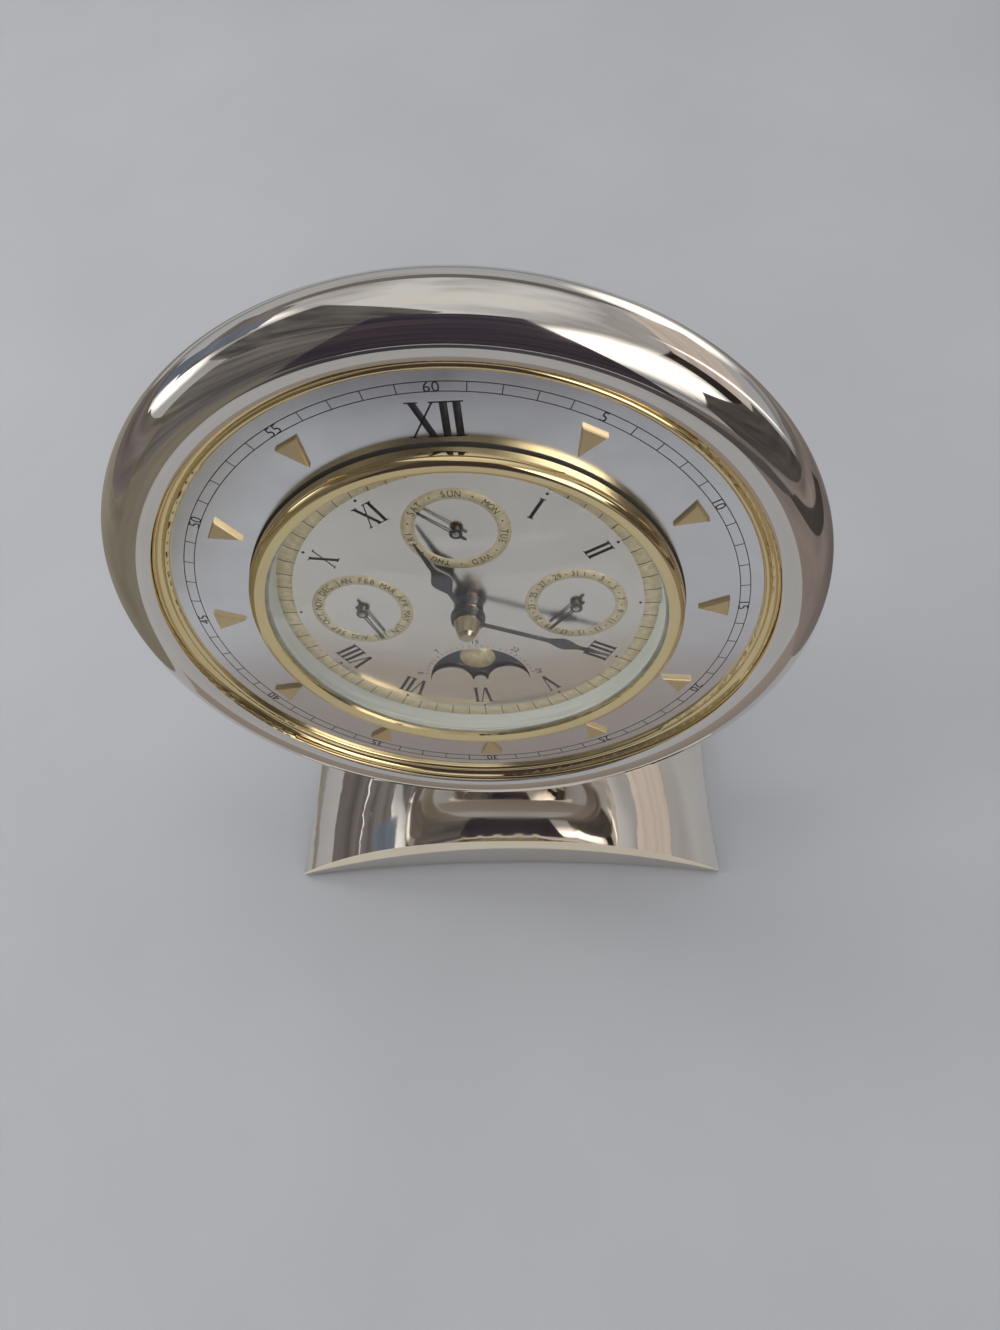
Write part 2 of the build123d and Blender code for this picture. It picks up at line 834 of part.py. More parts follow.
inner_dial.part.label = "inner_dial"
export_step(inner_dial.part, "parts/inner_dial.step")

# Dark eyelet pressed into the dial's centre hole
with BuildPart() as dial_eyelet:
    with BuildSketch(centre_plane):
        with BuildLine():
            Polyline(
                (eyelet_bore_radius, dial_depth - dial_thickness),
                (eyelet_barrel_radius, dial_depth - dial_thickness),
                (eyelet_barrel_radius, dial_depth),
                (eyelet_radius, dial_depth),
                (eyelet_radius, dial_depth + eyelet_height - eyelet_flange),
                (eyelet_radius - eyelet_flange, dial_depth + eyelet_height),
                (eyelet_bore_radius, dial_depth + eyelet_height),
                close=True,
            )
        make_face()
    revolve(axis=centre_axis)
dial_eyelet.part.label = "dial_eyelet"
export_step(dial_eyelet.part, "parts/dial_eyelet.step")

# Spacer ring that keeps the dial off the calendar plate
with BuildPart() as dial_spacer:
    with BuildSketch(dial_plane.offset(plate_front)):
        Circle(insert_radius)
        Circle(insert_radius - spacer_width, mode=Mode.SUBTRACT)
    extrude(amount=spacer_thickness)
dial_spacer.part.label = "dial_spacer"
export_step(dial_spacer.part, "parts/dial_spacer.step")

# MOTION WORK

train_radius = (cannon_teeth + minute_wheel_teeth) * gear_module / 2
train_x = cos(radians(train_angle))
train_y = sin(radians(train_angle))
minute_wheel_spot = (train_radius * train_x, train_radius * train_y)
setting_radius = train_radius + (minute_wheel_teeth + setting_teeth) * gear_module / 2
setting_spot = (setting_radius * train_x, setting_radius * train_y)

# Brass calendar plate with the posts for the minute wheel and the moon disc
with BuildPart() as calendar_plate:
    with BuildSketch(dial_plane.offset(plate_back)):
        Circle(insert_radius)
        Circle(minute_pivot_radius + running_gap, mode=Mode.SUBTRACT)
        with Locations(*subdial_spots.values()):
            Circle(pointer_arbor_radius + running_gap, mode=Mode.SUBTRACT)
        with Locations(setting_spot):
            Circle(setting_arbor_radius + running_gap, mode=Mode.SUBTRACT)
        with GridLocations(2 * housing_screw_offset, 2 * housing_screw_offset, 2, 2):
            Circle(housing_screw_radius + running_gap, mode=Mode.SUBTRACT)
    extrude(amount=plate_thickness)
    with BuildSketch(dial_plane.offset(plate_front)):
        with Locations(minute_wheel_spot):
            Circle(minute_pivot_radius)
    extrude(amount=hour_wheel_front - plate_front)
    with BuildSketch(dial_plane.offset(plate_front)):
        with Locations((0, moon_centre)):
            Circle(moon_post_radius)
    extrude(amount=moon_disc_front - plate_front)
calendar_plate.part.label = "calendar_plate"
export_step(calendar_plate.part, "parts/calendar_plate.step")

# Ring nut that holds the calendar plate in the bezel's tube
with BuildPart() as ring_nut:
    with BuildSketch(dial_plane.offset(plate_back)):
        Circle(insert_radius)
        Circle(insert_radius - ring_nut_width, mode=Mode.SUBTRACT)
    extrude(amount=-ring_nut_thickness)
    with BuildSketch(dial_plane.offset(plate_back - ring_nut_thickness)):
        with PolarLocations(insert_radius - ring_nut_width, 2):
            Rectangle(spanner_slot_width, spanner_slot_width)
    extrude(amount=ring_nut_thickness / 2, mode=Mode.SUBTRACT)
ring_nut.part.label = "ring_nut"
export_step(ring_nut.part, "parts/ring_nut.step")

# Minute arbor with the cannon pinion, its front tube and the cap's stub
with BuildPart() as minute_arbor:
    with BuildSketch(dial_plane.offset(cannon_front - cannon_thickness)):
        with BuildLine():
            Polyline(*gear_outline((0, 0), cannon_teeth, gear_module, train_angle), close=True)
        make_face()
    extrude(amount=cannon_thickness)
    with BuildSketch(centre_plane):
        with BuildLine():
            Polyline(
                (0, plate_back),
                (minute_pivot_radius, plate_back),
                (minute_pivot_radius, cannon_front - cannon_thickness),
                (minute_tube_radius, cannon_front - cannon_thickness),
                (minute_tube_radius, minute_hand_depth),
                (minute_stub_radius, minute_hand_depth),
                (minute_stub_radius, minute_stub_top),
                (0, minute_stub_top),
                close=True,
            )
        make_face()
    revolve(axis=centre_axis)
minute_arbor.part.label = "minute_arbor"
export_step(minute_arbor.part, "parts/minute_arbor.step")

# Minute wheel and its pinion, turning on the plate's post
with BuildPart() as minute_wheel:
    with BuildSketch(dial_plane.offset(minute_wheel_front - minute_wheel_thickness)):
        with BuildLine():
            Polyline(
                *gear_outline(
                    minute_wheel_spot,
                    minute_wheel_teeth,
                    gear_module,
                    train_angle + 180 + 180 / minute_wheel_teeth,
                ),
                close=True,
            )
        make_face()
        with Locations(minute_wheel_spot):
            Circle(minute_pivot_radius + running_gap, mode=Mode.SUBTRACT)
    extrude(amount=minute_wheel_thickness)
    with BuildSketch(dial_plane.offset(minute_wheel_front)):
        with BuildLine():
            Polyline(
                *gear_outline(
                    minute_wheel_spot,
                    minute_pinion_teeth,
                    hour_gear_module,
                    train_angle + 180 + 180 / minute_pinion_teeth,
                ),
                close=True,
            )
        make_face()
        with Locations(minute_wheel_spot):
            Circle(minute_pivot_radius + running_gap, mode=Mode.SUBTRACT)
    extrude(amount=hour_wheel_front - minute_wheel_front)
minute_wheel.part.label = "minute_wheel"
export_step(minute_wheel.part, "parts/minute_wheel.step")

# Hour wheel with its pipe around the minute tube
with BuildPart() as hour_wheel:
    with BuildSketch(dial_plane.offset(hour_wheel_front - hour_wheel_thickness)):
        with BuildLine():
            Polyline(
                *gear_outline((0, 0), hour_wheel_teeth, hour_gear_module, train_angle), close=True
            )
        make_face()
        Circle(minute_tube_radius + running_gap, mode=Mode.SUBTRACT)
    extrude(amount=hour_wheel_thickness)
    with BuildSketch(dial_plane.offset(hour_wheel_front)):
        Circle(hour_pipe_radius)
        Circle(minute_tube_radius + running_gap, mode=Mode.SUBTRACT)
    extrude(amount=hour_hand_depth + hour_hand_thickness - hour_wheel_front)
hour_wheel.part.label = "hour_wheel"
export_step(hour_wheel.part, "parts/hour_wheel.step")

# HANDS

# Hour hand: a leaf on a slim stem, drawn pointing up and turned to its azimuth
with BuildPart() as hour_hand:
    with BuildSketch(pointing_plane(0, 0, hour_hand_depth, hour_azimuth)):
        with BuildLine():
            Line((0, 0), (hour_stem_half, 0))
            Line((hour_stem_half, 0), (hour_stem_half, hour_leaf_start))
            Spline(
                (hour_stem_half, hour_leaf_start),
                (hour_leaf_half * leaf_bulge_share, (hour_leaf_start + hour_leaf_middle) / 2),
                (hour_leaf_half, hour_leaf_middle),
                (hour_leaf_half / 2, (hour_leaf_middle + hour_leaf_end) / 2),
                (hour_stem_half, hour_leaf_end),
            )
            Line((hour_stem_half, hour_leaf_end), (hand_tip_half, hour_tip))
            Line((hand_tip_half, hour_tip), (0, hour_tip))
            mirror(about=Plane.YZ)
        make_face()
        Circle(hour_pipe_radius + seat_gap, mode=Mode.SUBTRACT)
    extrude(amount=hour_hand_thickness)
    with BuildSketch(centre_plane):
        with BuildLine():
            Polyline(
                (hour_pipe_radius + seat_gap, hour_hand_depth),
                (hour_hub_radius - hub_edge, hour_hand_depth),
                (hour_hub_radius, hour_hand_depth + hub_edge),
                (hour_hub_radius, hour_hand_depth + hour_hub_height - hub_edge),
                (hour_hub_radius - hub_edge, hour_hand_depth + hour_hub_height),
                (hour_pipe_radius + seat_gap, hour_hand_depth + hour_hub_height),
                close=True,
            )
        make_face()
    revolve(axis=centre_axis)
hour_hand.part.label = "hour_hand"
export_step(hour_hand.part, "parts/hour_hand.step")

# Bronze collar under the hour hand
with BuildPart() as hour_collar:
    with BuildSketch(dial_plane.offset(hour_collar_bottom)):
        Circle(hour_collar_radius)
        Circle(hour_pipe_radius + seat_gap, mode=Mode.SUBTRACT)
    extrude(amount=hour_hand_depth - hour_collar_bottom)
hour_collar.part.label = "hour_collar"
export_step(hour_collar.part, "parts/hour_collar.step")

# Minute hand: a long stem with a small leaf
with BuildPart() as minute_hand:
    with BuildSketch(pointing_plane(0, 0, minute_hand_depth, minute_azimuth)):
        with BuildLine():
            Line((0, 0), (minute_stem_half, 0))
            Line((minute_stem_half, 0), (minute_stem_half, minute_leaf_start))
            Spline(
                (minute_stem_half, minute_leaf_start),
                (minute_leaf_half * leaf_bulge_share, (minute_leaf_start + minute_leaf_middle) / 2),
                (minute_leaf_half, minute_leaf_middle),
                (minute_leaf_half / 2, (minute_leaf_middle + minute_leaf_end) / 2),
                (minute_stem_half, minute_leaf_end),
            )
            Line((minute_stem_half, minute_leaf_end), (hand_tip_half, minute_tip))
            Line((hand_tip_half, minute_tip), (0, minute_tip))
            mirror(about=Plane.YZ)
        make_face()
        Circle(minute_hub_radius)
        Circle(minute_stub_radius + seat_gap, mode=Mode.SUBTRACT)
    extrude(amount=minute_hand_thickness)
minute_hand.part.label = "minute_hand"
export_step(minute_hand.part, "parts/minute_hand.step")

# Conical cap nut on the minute arbor's stub
cap_bottom = minute_hand_depth + minute_hand_thickness
with BuildPart() as hand_cap:
    with BuildSketch(centre_plane):
        with BuildLine():
            Polyline(
                (minute_stub_radius + seat_gap, cap_bottom),
                (cap_bottom_radius, cap_bottom),
                (cap_bottom_radius, cap_bottom + cap_rim),
                (cap_top_radius, cap_top - cap_rim),
                (cap_top_radius - cap_rim, cap_top),
                (0, cap_top),
                (0, minute_stub_top + seat_gap),
                (minute_stub_radius + seat_gap, minute_stub_top + seat_gap),
                close=True,
            )
        make_face()
    revolve(axis=centre_axis)
hand_cap.part.label = "hand_cap"
export_step(hand_cap.part, "parts/hand_cap.step")

# CALENDAR WORK

# Star wheel and pointer of each small dial
stars = {
    "day": (day_teeth, day_star_radius, day_azimuth),
    "date": (date_teeth, date_star_radius, date_azimuth),
    "month": (month_teeth, month_star_radius, month_azimuth),
}
for name, (teeth, star_radius, azimuth) in stars.items():
    spot = subdial_spots[name]
    arbor_plane = turning_plane(*spot)
    with BuildPart() as star_wheel:
        with BuildSketch(dial_plane.offset(star_front - star_thickness)):
            with BuildLine():
                Polyline(
                    *toothed_outline(
                        spot,
                        teeth,
                        star_radius - star_tooth_depth,
                        star_radius,
                        star_root_share,
                        star_tip_share,
                        90 - azimuth,
                    ),
                    close=True,
                )
            make_face()
        extrude(amount=star_thickness)
        with BuildSketch(arbor_plane):
            with BuildLine():
                Polyline(
                    (0, plate_back),
                    (pointer_arbor_radius, plate_back),
                    (pointer_arbor_radius, plate_front + running_gap),
                    (star_hub_radius, plate_front + running_gap),
                    (star_hub_radius, star_front),
                    (pointer_arbor_radius, star_front),
                    (pointer_arbor_radius, pointer_arbor_top),
                    (0, pointer_arbor_top),
                    close=True,
                )
            make_face()
        revolve(axis=turning_axis(arbor_plane))
    star_wheel.part.label = name + "_star"
    export_step(star_wheel.part, "parts/" + name + "_star.step")

    with BuildPart() as pointer:
        with BuildSketch(pointing_plane(spot[0], spot[1], pointer_depth, azimuth)):
            with BuildLine():
                Polyline(
                    (-pointer_half, 0),
                    (-pointer_tip_half, pointer_length - pointer_tip_half),
                    (0, pointer_length),
                    (pointer_tip_half, pointer_length - pointer_tip_half),
                    (pointer_half, 0),
                    (pointer_tail_half, -pointer_tail + pointer_tail_half),
                    (0, -pointer_tail),
                    (-pointer_tail_half, -pointer_tail + pointer_tail_half),
                    close=True,
                )
            make_face()
            with BuildLine():
                Polyline(
                    (pointer_wall - pointer_half, pointer_hub_radius),
                    (pointer_half - pointer_wall, pointer_hub_radius),
                    (pointer_tip_half - pointer_wall, pointer_length - pointer_hub_radius / 2),
                    (pointer_wall - pointer_tip_half, pointer_length - pointer_hub_radius / 2),
                    close=True,
                )
            make_face(mode=Mode.SUBTRACT)
            Circle(pointer_hub_radius)
            Circle(pointer_arbor_radius + seat_gap / 2, mode=Mode.SUBTRACT)
        extrude(amount=pointer_thickness)
    pointer.part.label = name + "_pointer"
    export_step(pointer.part, "parts/" + name + "_pointer.step")

# Moon disc: a toothed disc on a hub that turns on the plate's post
with BuildPart() as moon_disc:
    with BuildSketch(dial_plane.offset(moon_disc_front - moon_disc_thickness)):
        with BuildLine():
            Polyline(
                *toothed_outline(
                    (0, moon_centre),
                    moon_teeth,
                    moon_disc_radius - moon_tooth_depth,
                    moon_disc_radius,
                    star_root_share,
                    star_tip_share,
                    90,
                ),
                close=True,
            )
        make_face()
        with Locations((0, moon_centre)):
            Circle(moon_post_radius + running_gap, mode=Mode.SUBTRACT)
    extrude(amount=moon_disc_thickness)
    with BuildSketch(dial_plane.offset(plate_front + running_gap)):
        with Locations((0, moon_centre)):
            Circle(moon_hub_radius)
            Circle(moon_post_radius + running_gap, mode=Mode.SUBTRACT)
    extrude(amount=moon_disc_front - moon_disc_thickness - plate_front - running_gap)
moon_disc.part.label = "moon_disc"
export_step(moon_disc.part, "parts/moon_disc.step")

# MOVEMENT GROUP

bay_width = 2 * (battery_radius + bay_clearance)
bay_floor = housing_back + bay_width

# Closed movement housing with the battery bay and the bores for knob and correctors
with BuildPart() as movement_housing:
    with BuildSketch(dial_plane.offset(housing_back)):
        RectangleRounded(housing_width, housing_width, housing_corner)
    extrude(amount=plate_back - housing_back)
    with BuildSketch(dial_plane.offset(housing_back)):
        with Locations((0, battery_height)):
            Rectangle(bay_length, bay_width)
    extrude(amount=bay_width, mode=Mode.SUBTRACT)
    with BuildSketch(dial_plane.offset(housing_back)):
        with Locations(setting_spot):
            Circle(setting_arbor_radius + knob_hole_clearance)
        with Locations(*corrector_spots):
            Circle(corrector_rod_radius + running_gap)
        with GridLocations(2 * housing_screw_offset, 2 * housing_screw_offset, 2, 2):
            Circle(housing_screw_radius + running_gap)
    extrude(amount=plate_back - housing_back, mode=Mode.SUBTRACT)
    with BuildSketch(dial_plane.offset(housing_back)):
        with Locations(*corrector_spots):
            Circle(corrector_head_radius + running_gap)
    extrude(amount=corrector_well - housing_back, mode=Mode.SUBTRACT)
movement_housing.part.label = "movement_housing"
export_step(movement_housing.part, "parts/movement_housing.step")

# Four long screws that hold the housing on the calendar plate
with BuildPart() as housing_screws:
    with BuildSketch(dial_plane.offset(housing_back)):
        with GridLocations(2 * housing_screw_offset, 2 * housing_screw_offset, 2, 2):
            Circle(housing_screw_radius)
    extrude(amount=plate_front - housing_back)
    with BuildSketch(dial_plane.offset(housing_back)):
        with GridLocations(2 * housing_screw_offset, 2 * housing_screw_offset, 2, 2):
            Circle(housing_screw_head_radius)
    extrude(amount=-housing_screw_head_height)
housing_screws.part.label = "housing_screws"
export_step(housing_screws.part, "parts/housing_screws.step")

# Spring contacts at the two ends of the battery bay
contact_middle = (bay_length - contact_thickness) / 2
with BuildPart() as battery_contacts:
    with BuildSketch(dial_plane.offset(bay_floor)):
        with Locations((-contact_middle, battery_height), (contact_middle, battery_height)):
            Rectangle(contact_thickness, contact_width)
    extrude(amount=-contact_height)
battery_contacts.part.label = "battery_contacts"
export_step(battery_contacts.part, "parts/battery_contacts.step")

# Battery cell lying across the bay
cell_plane = Plane(
    origin=dial_plane.from_local_coords(
        (-battery_length / 2 - battery_nub_length / 2, battery_height, housing_back + bay_width / 2)
    ),
    x_dir=dial_plane.y_dir,
    z_dir=dial_plane.x_dir,
)
with BuildPart() as battery:
    with BuildSketch(cell_plane):
        Circle(battery_radius)
    extrude(amount=battery_length)
    with BuildSketch(cell_plane.offset(battery_length)):
        Circle(battery_nub_radius)
    extrude(amount=battery_nub_length)
battery.part.label = "battery"
export_step(battery.part, "parts/battery.step")

# Setting arbor with the pinion that turns the minute wheel
setting_plane = turning_plane(*setting_spot)
with BuildPart() as setting_arbor:
    with BuildSketch(dial_plane.offset(cannon_front - cannon_thickness)):
        with BuildLine():
            Polyline(
                *gear_outline(setting_spot, setting_teeth, gear_module, train_angle + 180),
                close=True,
            )
        make_face()
    extrude(amount=cannon_thickness)
    with BuildSketch(dial_plane.offset(knob_back + spanner_slot_depth)):
        with Locations(setting_spot):
            Circle(setting_arbor_radius)
    extrude(amount=cannon_front - knob_back - spanner_slot_depth)
setting_arbor.part.label = "setting_arbor"
export_step(setting_arbor.part, "parts/setting_arbor.step")

# Fluted setting knob
with BuildPart() as setting_knob:
    with BuildSketch(dial_plane.offset(knob_back)):
        with Locations(setting_spot):
            Circle(knob_radius)
            with PolarLocations(knob_radius, knob_flutes):
                Circle(knob_flute_radius, mode=Mode.SUBTRACT)
    extrude(amount=knob_front - knob_back)
    with BuildSketch(dial_plane.offset(knob_front)):
        with Locations(setting_spot):
            Circle(setting_arbor_radius + seat_gap / 2)
    extrude(amount=knob_back + spanner_slot_depth - knob_front, mode=Mode.SUBTRACT)
setting_knob.part.label = "setting_knob"
export_step(setting_knob.part, "parts/setting_knob.step")

# Four corrector plungers
for name, spot in zip(corrector_names, corrector_spots):
    plunger_plane = turning_plane(*spot)
    with BuildPart() as corrector:
        with BuildSketch(plunger_plane):
            with BuildLine():
                Polyline(
                    (0, corrector_back),
                    (corrector_head_radius, corrector_back),
                    (corrector_head_radius, corrector_shoulder),
                    (corrector_rod_radius, corrector_shoulder),
                    (corrector_rod_radius, corrector_front),
                    (0, corrector_front),
                    close=True,
                )
            make_face()
        revolve(axis=turning_axis(plunger_plane))
    corrector.part.label = name + "_corrector"
    export_step(corrector.part, "parts/" + name + "_corrector.step")
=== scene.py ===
"""Moon phase desk clock: printing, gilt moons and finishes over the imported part.

Lengths in the script are millimetres until they are put into a mesh.
"""
from math import cos, pi, radians, sin

import bmesh
import bpy
import numpy as np
from mathutils import Matrix


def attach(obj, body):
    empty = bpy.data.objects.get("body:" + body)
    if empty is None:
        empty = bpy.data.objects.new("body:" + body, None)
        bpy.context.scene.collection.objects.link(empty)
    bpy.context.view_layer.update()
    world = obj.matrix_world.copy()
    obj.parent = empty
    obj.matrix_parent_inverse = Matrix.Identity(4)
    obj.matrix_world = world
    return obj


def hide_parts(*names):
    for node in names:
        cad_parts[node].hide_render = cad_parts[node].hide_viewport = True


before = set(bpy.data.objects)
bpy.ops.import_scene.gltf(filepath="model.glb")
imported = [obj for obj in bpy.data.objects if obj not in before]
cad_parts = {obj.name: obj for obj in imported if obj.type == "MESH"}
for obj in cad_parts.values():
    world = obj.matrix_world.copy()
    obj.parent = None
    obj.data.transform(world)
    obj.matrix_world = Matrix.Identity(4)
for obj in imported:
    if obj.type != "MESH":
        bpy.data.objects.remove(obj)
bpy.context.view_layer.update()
scene = bpy.context.scene

# HEAD OF THE CLOCK

METRES = 0.001
dial_height = 127.4
dial_forward = 14.0
lean = radians(10.5)
pole_merge = 1e-7

# Steps round a turned piece
turn_steps = 256
small_ring_steps = 128
moon_steps = 96
pin_steps = 32
dot_steps = 16

# Outer dial
track_outer_radius = 66.8
track_inner_radius = 64.5
track_line = 0.2
minute_numeral_radius = 65.65
minute_numeral_height = 2.5
twelve_height = 8.6
twelve_radius = 57.85

# Inner dial
inner_face = -2.3
hour_ring_inner = 42.2
hour_ring_outer = 45.75
hour_numeral_radius = 36.4
hour_numeral_height = 6.4
hour_dot_radius = 41.3
hour_dot_size = 0.36
small_dial_offset = 26.0
small_ring_inner = 9.3
small_ring_outer = 12.3
small_letter_radius = 10.8
small_letter_height = 1.75
moon_centre_up = -29.4
moon_age_radius = 16.0
moon_age_height = 1.6
moon_age_days = (0, 7, 15, 22, 29)
moon_age_reach = 78
moon_age_ticks = 25
moon_tick_inner = 13.9
moon_tick_outer = 14.6
moon_tick_line = 0.13
hour_tick_line = 0.2
day_letter_spacing = 8.5
month_letter_spacing = 7.6
day_dot_size = 0.22
date_dot_size = 0.2
print_height = 0.02
ink_lift = 0.02

# Letter widths, as shares of the drawn letter
twelve_width_share = 0.92
hour_width_share = 0.78
small_width_share = 0.85

# Moon disc
moon_face = -3.2
moon_offset = 8.6
moon_radius = 4.6

# Pin heads of the small pointers
pin_radius = 0.72
pin_top = -0.55
pin_edge = -0.75
pin_foot = -0.85
pin_dome_steps = 8
pin_crease = 40


def on_head(across, up, out):
    """Points in metres for dial millimetres: right, up along the leaning dial, out to the viewer.

    The dial leans back by one angle, so up and out are each split between height and depth by
    its cosine and sine.
    """
    across, up, out = np.broadcast_arrays(across, up, out)
    depth = up * sin(lean) - out * cos(lean) - dial_forward
    height = up * cos(lean) + out * sin(lean) + dial_height
    return np.stack([across, depth, height], axis=-1) * METRES


# MESHES


def make_piece(name, parts, finish, body, crease=None):
    """One piece from parts; a part is an array of points and an array of faces over its own points.

    Points that meet at a pole are merged and every face is turned outwards.
    """
    offsets = np.cumsum([0] + [len(points) for points, faces in parts[:-1]])
    points = np.concatenate([points for points, faces in parts])
    corners = np.concatenate([(faces + start).ravel() for (_, faces), start in zip(parts, offsets)])
    counts = np.concatenate([np.full(len(faces), faces.shape[1]) for _, faces in parts])
    starts = np.cumsum(counts) - counts
    mesh = bpy.data.meshes.new(name)
    mesh.vertices.add(len(points))
    mesh.vertices.foreach_set("co", points.astype(np.float32).ravel())
    mesh.loops.add(len(corners))
    mesh.loops.foreach_set("vertex_index", corners.astype(np.int32))
    mesh.polygons.add(len(counts))
    mesh.polygons.foreach_set("loop_start", starts.astype(np.int32))
    mesh.update(calc_edges=True)
    shell = bmesh.new()
    shell.from_mesh(mesh)
    bmesh.ops.remove_doubles(shell, verts=shell.verts, dist=pole_merge)
    bmesh.ops.recalc_face_normals(shell, faces=shell.faces)
    shell.to_mesh(mesh)
    shell.free()
    if crease is not None:
        mesh.polygons.foreach_set("use_smooth", np.ones(len(mesh.polygons), dtype=bool))
        mesh.set_sharp_from_angle(angle=radians(crease))
    mesh.materials.append(finish)
    piece = bpy.data.objects.new(name, mesh)
    scene.collection.objects.link(piece)
    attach(piece, body)
    return piece


def wrapped_quads(rows, columns):
    """Faces of a grid that closes on itself both ways, four neighbours to a face."""
    index = np.arange(rows * columns).reshape(rows, columns)
    next_row = np.roll(index, -1, axis=0)
    next_column = np.roll(index, -1, axis=1)
    both = np.roll(next_row, -1, axis=1)
    return np.stack([index, next_column, both, next_row], axis=-1).reshape(-1, 4)


def turned(profile, across=0, up=0, steps=turn_steps):
    """A closed section of radius and depth carried round the head's axis through across, up.

    A point is the centre plus its radius times the turn's cosine and sine, at its own depth.
    """
    profile = np.asarray(profile, dtype=float)
    turn = np.linspace(0, 2 * pi, steps, endpoint=False)[:, None]
    radius = profile[None, :, 0]
    depth = np.broadcast_to(profile[None, :, 1], (steps, len(profile)))
    points = on_head(across + radius * np.sin(turn), up + radius * np.cos(turn), depth)
    return points.reshape(-1, 3), wrapped_quads(steps, len(profile))


def band(inner, outer, low, high, across=0, up=0, steps=turn_steps):
    """A flat turned ring between two radii and two depths."""
    return turned([(inner, low), (inner, high), (outer, high), (outer, low)], across, up, steps)


def arc(middle_radius, middle_depth, size, first, last, steps):
    """Section points on a round stretch, by angles from straight out along the radius."""
    angle = np.radians(np.linspace(first, last, steps))
    return np.stack([middle_radius + size * np.cos(angle), middle_depth + size * np.sin(angle)], axis=-1)


def dome(apex, rim_radius, rim_depth, steps):
    """Section of a cap: the circle that is level at the axis and passes through the rim."""
    drop = apex - rim_depth
    size = (rim_radius**2 + drop**2) / (2 * drop)
    angle = np.linspace(0, np.arcsin(rim_radius / size), steps)
    return np.stack([size * np.sin(angle), apex - size + size * np.cos(angle)], axis=-1)


def prisms(outlines, low, high):
    """Closed blocks over four-cornered outlines: each outline at two depths with walls between."""
    outlines = np.asarray(outlines, dtype=float).reshape(-1, 4, 2)
    bottom = on_head(outlines[..., 0], outlines[..., 1], low)
    top = on_head(outlines[..., 0], outlines[..., 1], high)
    points = np.concatenate([bottom, top], axis=1).reshape(-1, 3)
    walls = [(0, 1, 5, 4), (1, 2, 6, 5), (2, 3, 7, 6), (3, 0, 4, 7)]
    one = np.array([(3, 2, 1, 0), (4, 5, 6, 7), *walls])
    faces = one[None] + 8 * np.arange(len(outlines))[:, None, None]
    return points, faces.reshape(-1, 4)


def turned_outlines(outlines, azimuth, radius, across=0, up=0):
    """Outlines drawn upright round zero, moved out to a radius and turned clockwise to an azimuth."""
    outlines = np.asarray(outlines, dtype=float)
    turn = radians(azimuth)
    x = outlines[..., 0]
    y = outlines[..., 1] + radius
    return np.stack([across + x * cos(turn) + y * sin(turn), up - x * sin(turn) + y * cos(turn)], axis=-1)


def ticks(azimuths, inner, outer, width, across=0, up=0):
    """Radial lines as thin outlines between two radii."""
    half = width / 2
    line = [(-half, inner), (half, inner), (half, outer), (-half, outer)]
    return np.concatenate([turned_outlines([line], azimuth, 0, across, up) for azimuth in azimuths])


def dots(azimuths, radius, size, low, high, across=0, up=0):
    """Round dots on a circle, each a small turned disc."""
    disc = [(0, low), (0, high), (size, high), (size, low)]
    turns = np.radians(azimuths)
    return [turned(disc, across + radius * sin(turn), up + radius * cos(turn), dot_steps) for turn in turns]


# LETTERS

capital_share = 0.72
letter_merge_share = 0.0005
letter_round_steps = 3
drawn_letters = {}


def letter(text, height):
    """Flat letters of the built-in face, made a mesh: points in millimetres and triangles.

    A capital of the built-in face is as high as a fixed share of its size.
    """
    if (text, height) in drawn_letters:
        return drawn_letters[text, height]
    curve = bpy.data.curves.new("letter", "FONT")
    curve.body = text
    curve.size = height / capital_share
    curve.extrude = print_height / 2
    curve.resolution_u = letter_round_steps
    curve.align_x = "CENTER"
    holder = bpy.data.objects.new("letter", curve)
    mesh = bpy.data.meshes.new_from_object(holder)
    shell = bmesh.new()
    shell.from_mesh(mesh)
    bmesh.ops.remove_doubles(shell, verts=shell.verts, dist=height * letter_merge_share)
    bmesh.ops.triangulate(shell, faces=shell.faces)
    shell.to_mesh(mesh)
    shell.free()
    points = np.zeros(len(mesh.vertices) * 3, dtype=np.float32)
    mesh.vertices.foreach_get("co", points)
    corners = np.zeros(len(mesh.loops), dtype=np.int32)
    mesh.loops.foreach_get("vertex_index", corners)
    points = points.reshape(-1, 3) - np.array([0, height / 2, -print_height / 2])
    bpy.data.objects.remove(holder)
    bpy.data.curves.remove(curve)
    bpy.data.meshes.remove(mesh)
    drawn_letters[text, height] = (points, corners.reshape(-1, 3))
    return drawn_letters[text, height]


def printed(text, height, azimuth, radius, depth, across=0, up=0, width_share=1.0):
    """A letter standing on the spoke at this azimuth, its foot to the centre."""
    points, faces = letter(text, height)
    flat = points[:, :2] * np.array([width_share, 1.0])
    placed = turned_outlines(flat, azimuth, radius, across, up)
    return on_head(placed[:, 0], placed[:, 1], depth + points[:, 2]), faces


# Strokes of a Roman numeral, as shares of its height
outer_thick_stroke = 0.2
inner_thick_stroke = 0.16
thin_stroke = 0.06
serif_height = 0.035
serif_reach = 0.07
letter_widths = {"I": 0.2, "V": 0.62, "X": 0.66}
letter_gap = 0.13


def stroke(foot, head, width):
    """A slanted stroke from foot to head, one unit high."""
    half = width / 2
    return [(foot - half, 0), (foot + half, 0), (head + half, 1), (head - half, 1)]


def serif(middle, width, level):
    """A flat serif round the end of a stroke."""
    reach = width / 2 + serif_reach
    return [
        (middle - reach, level),
        (middle + reach, level),
        (middle + reach, level + serif_height),
        (middle - reach, level + serif_height),
    ]


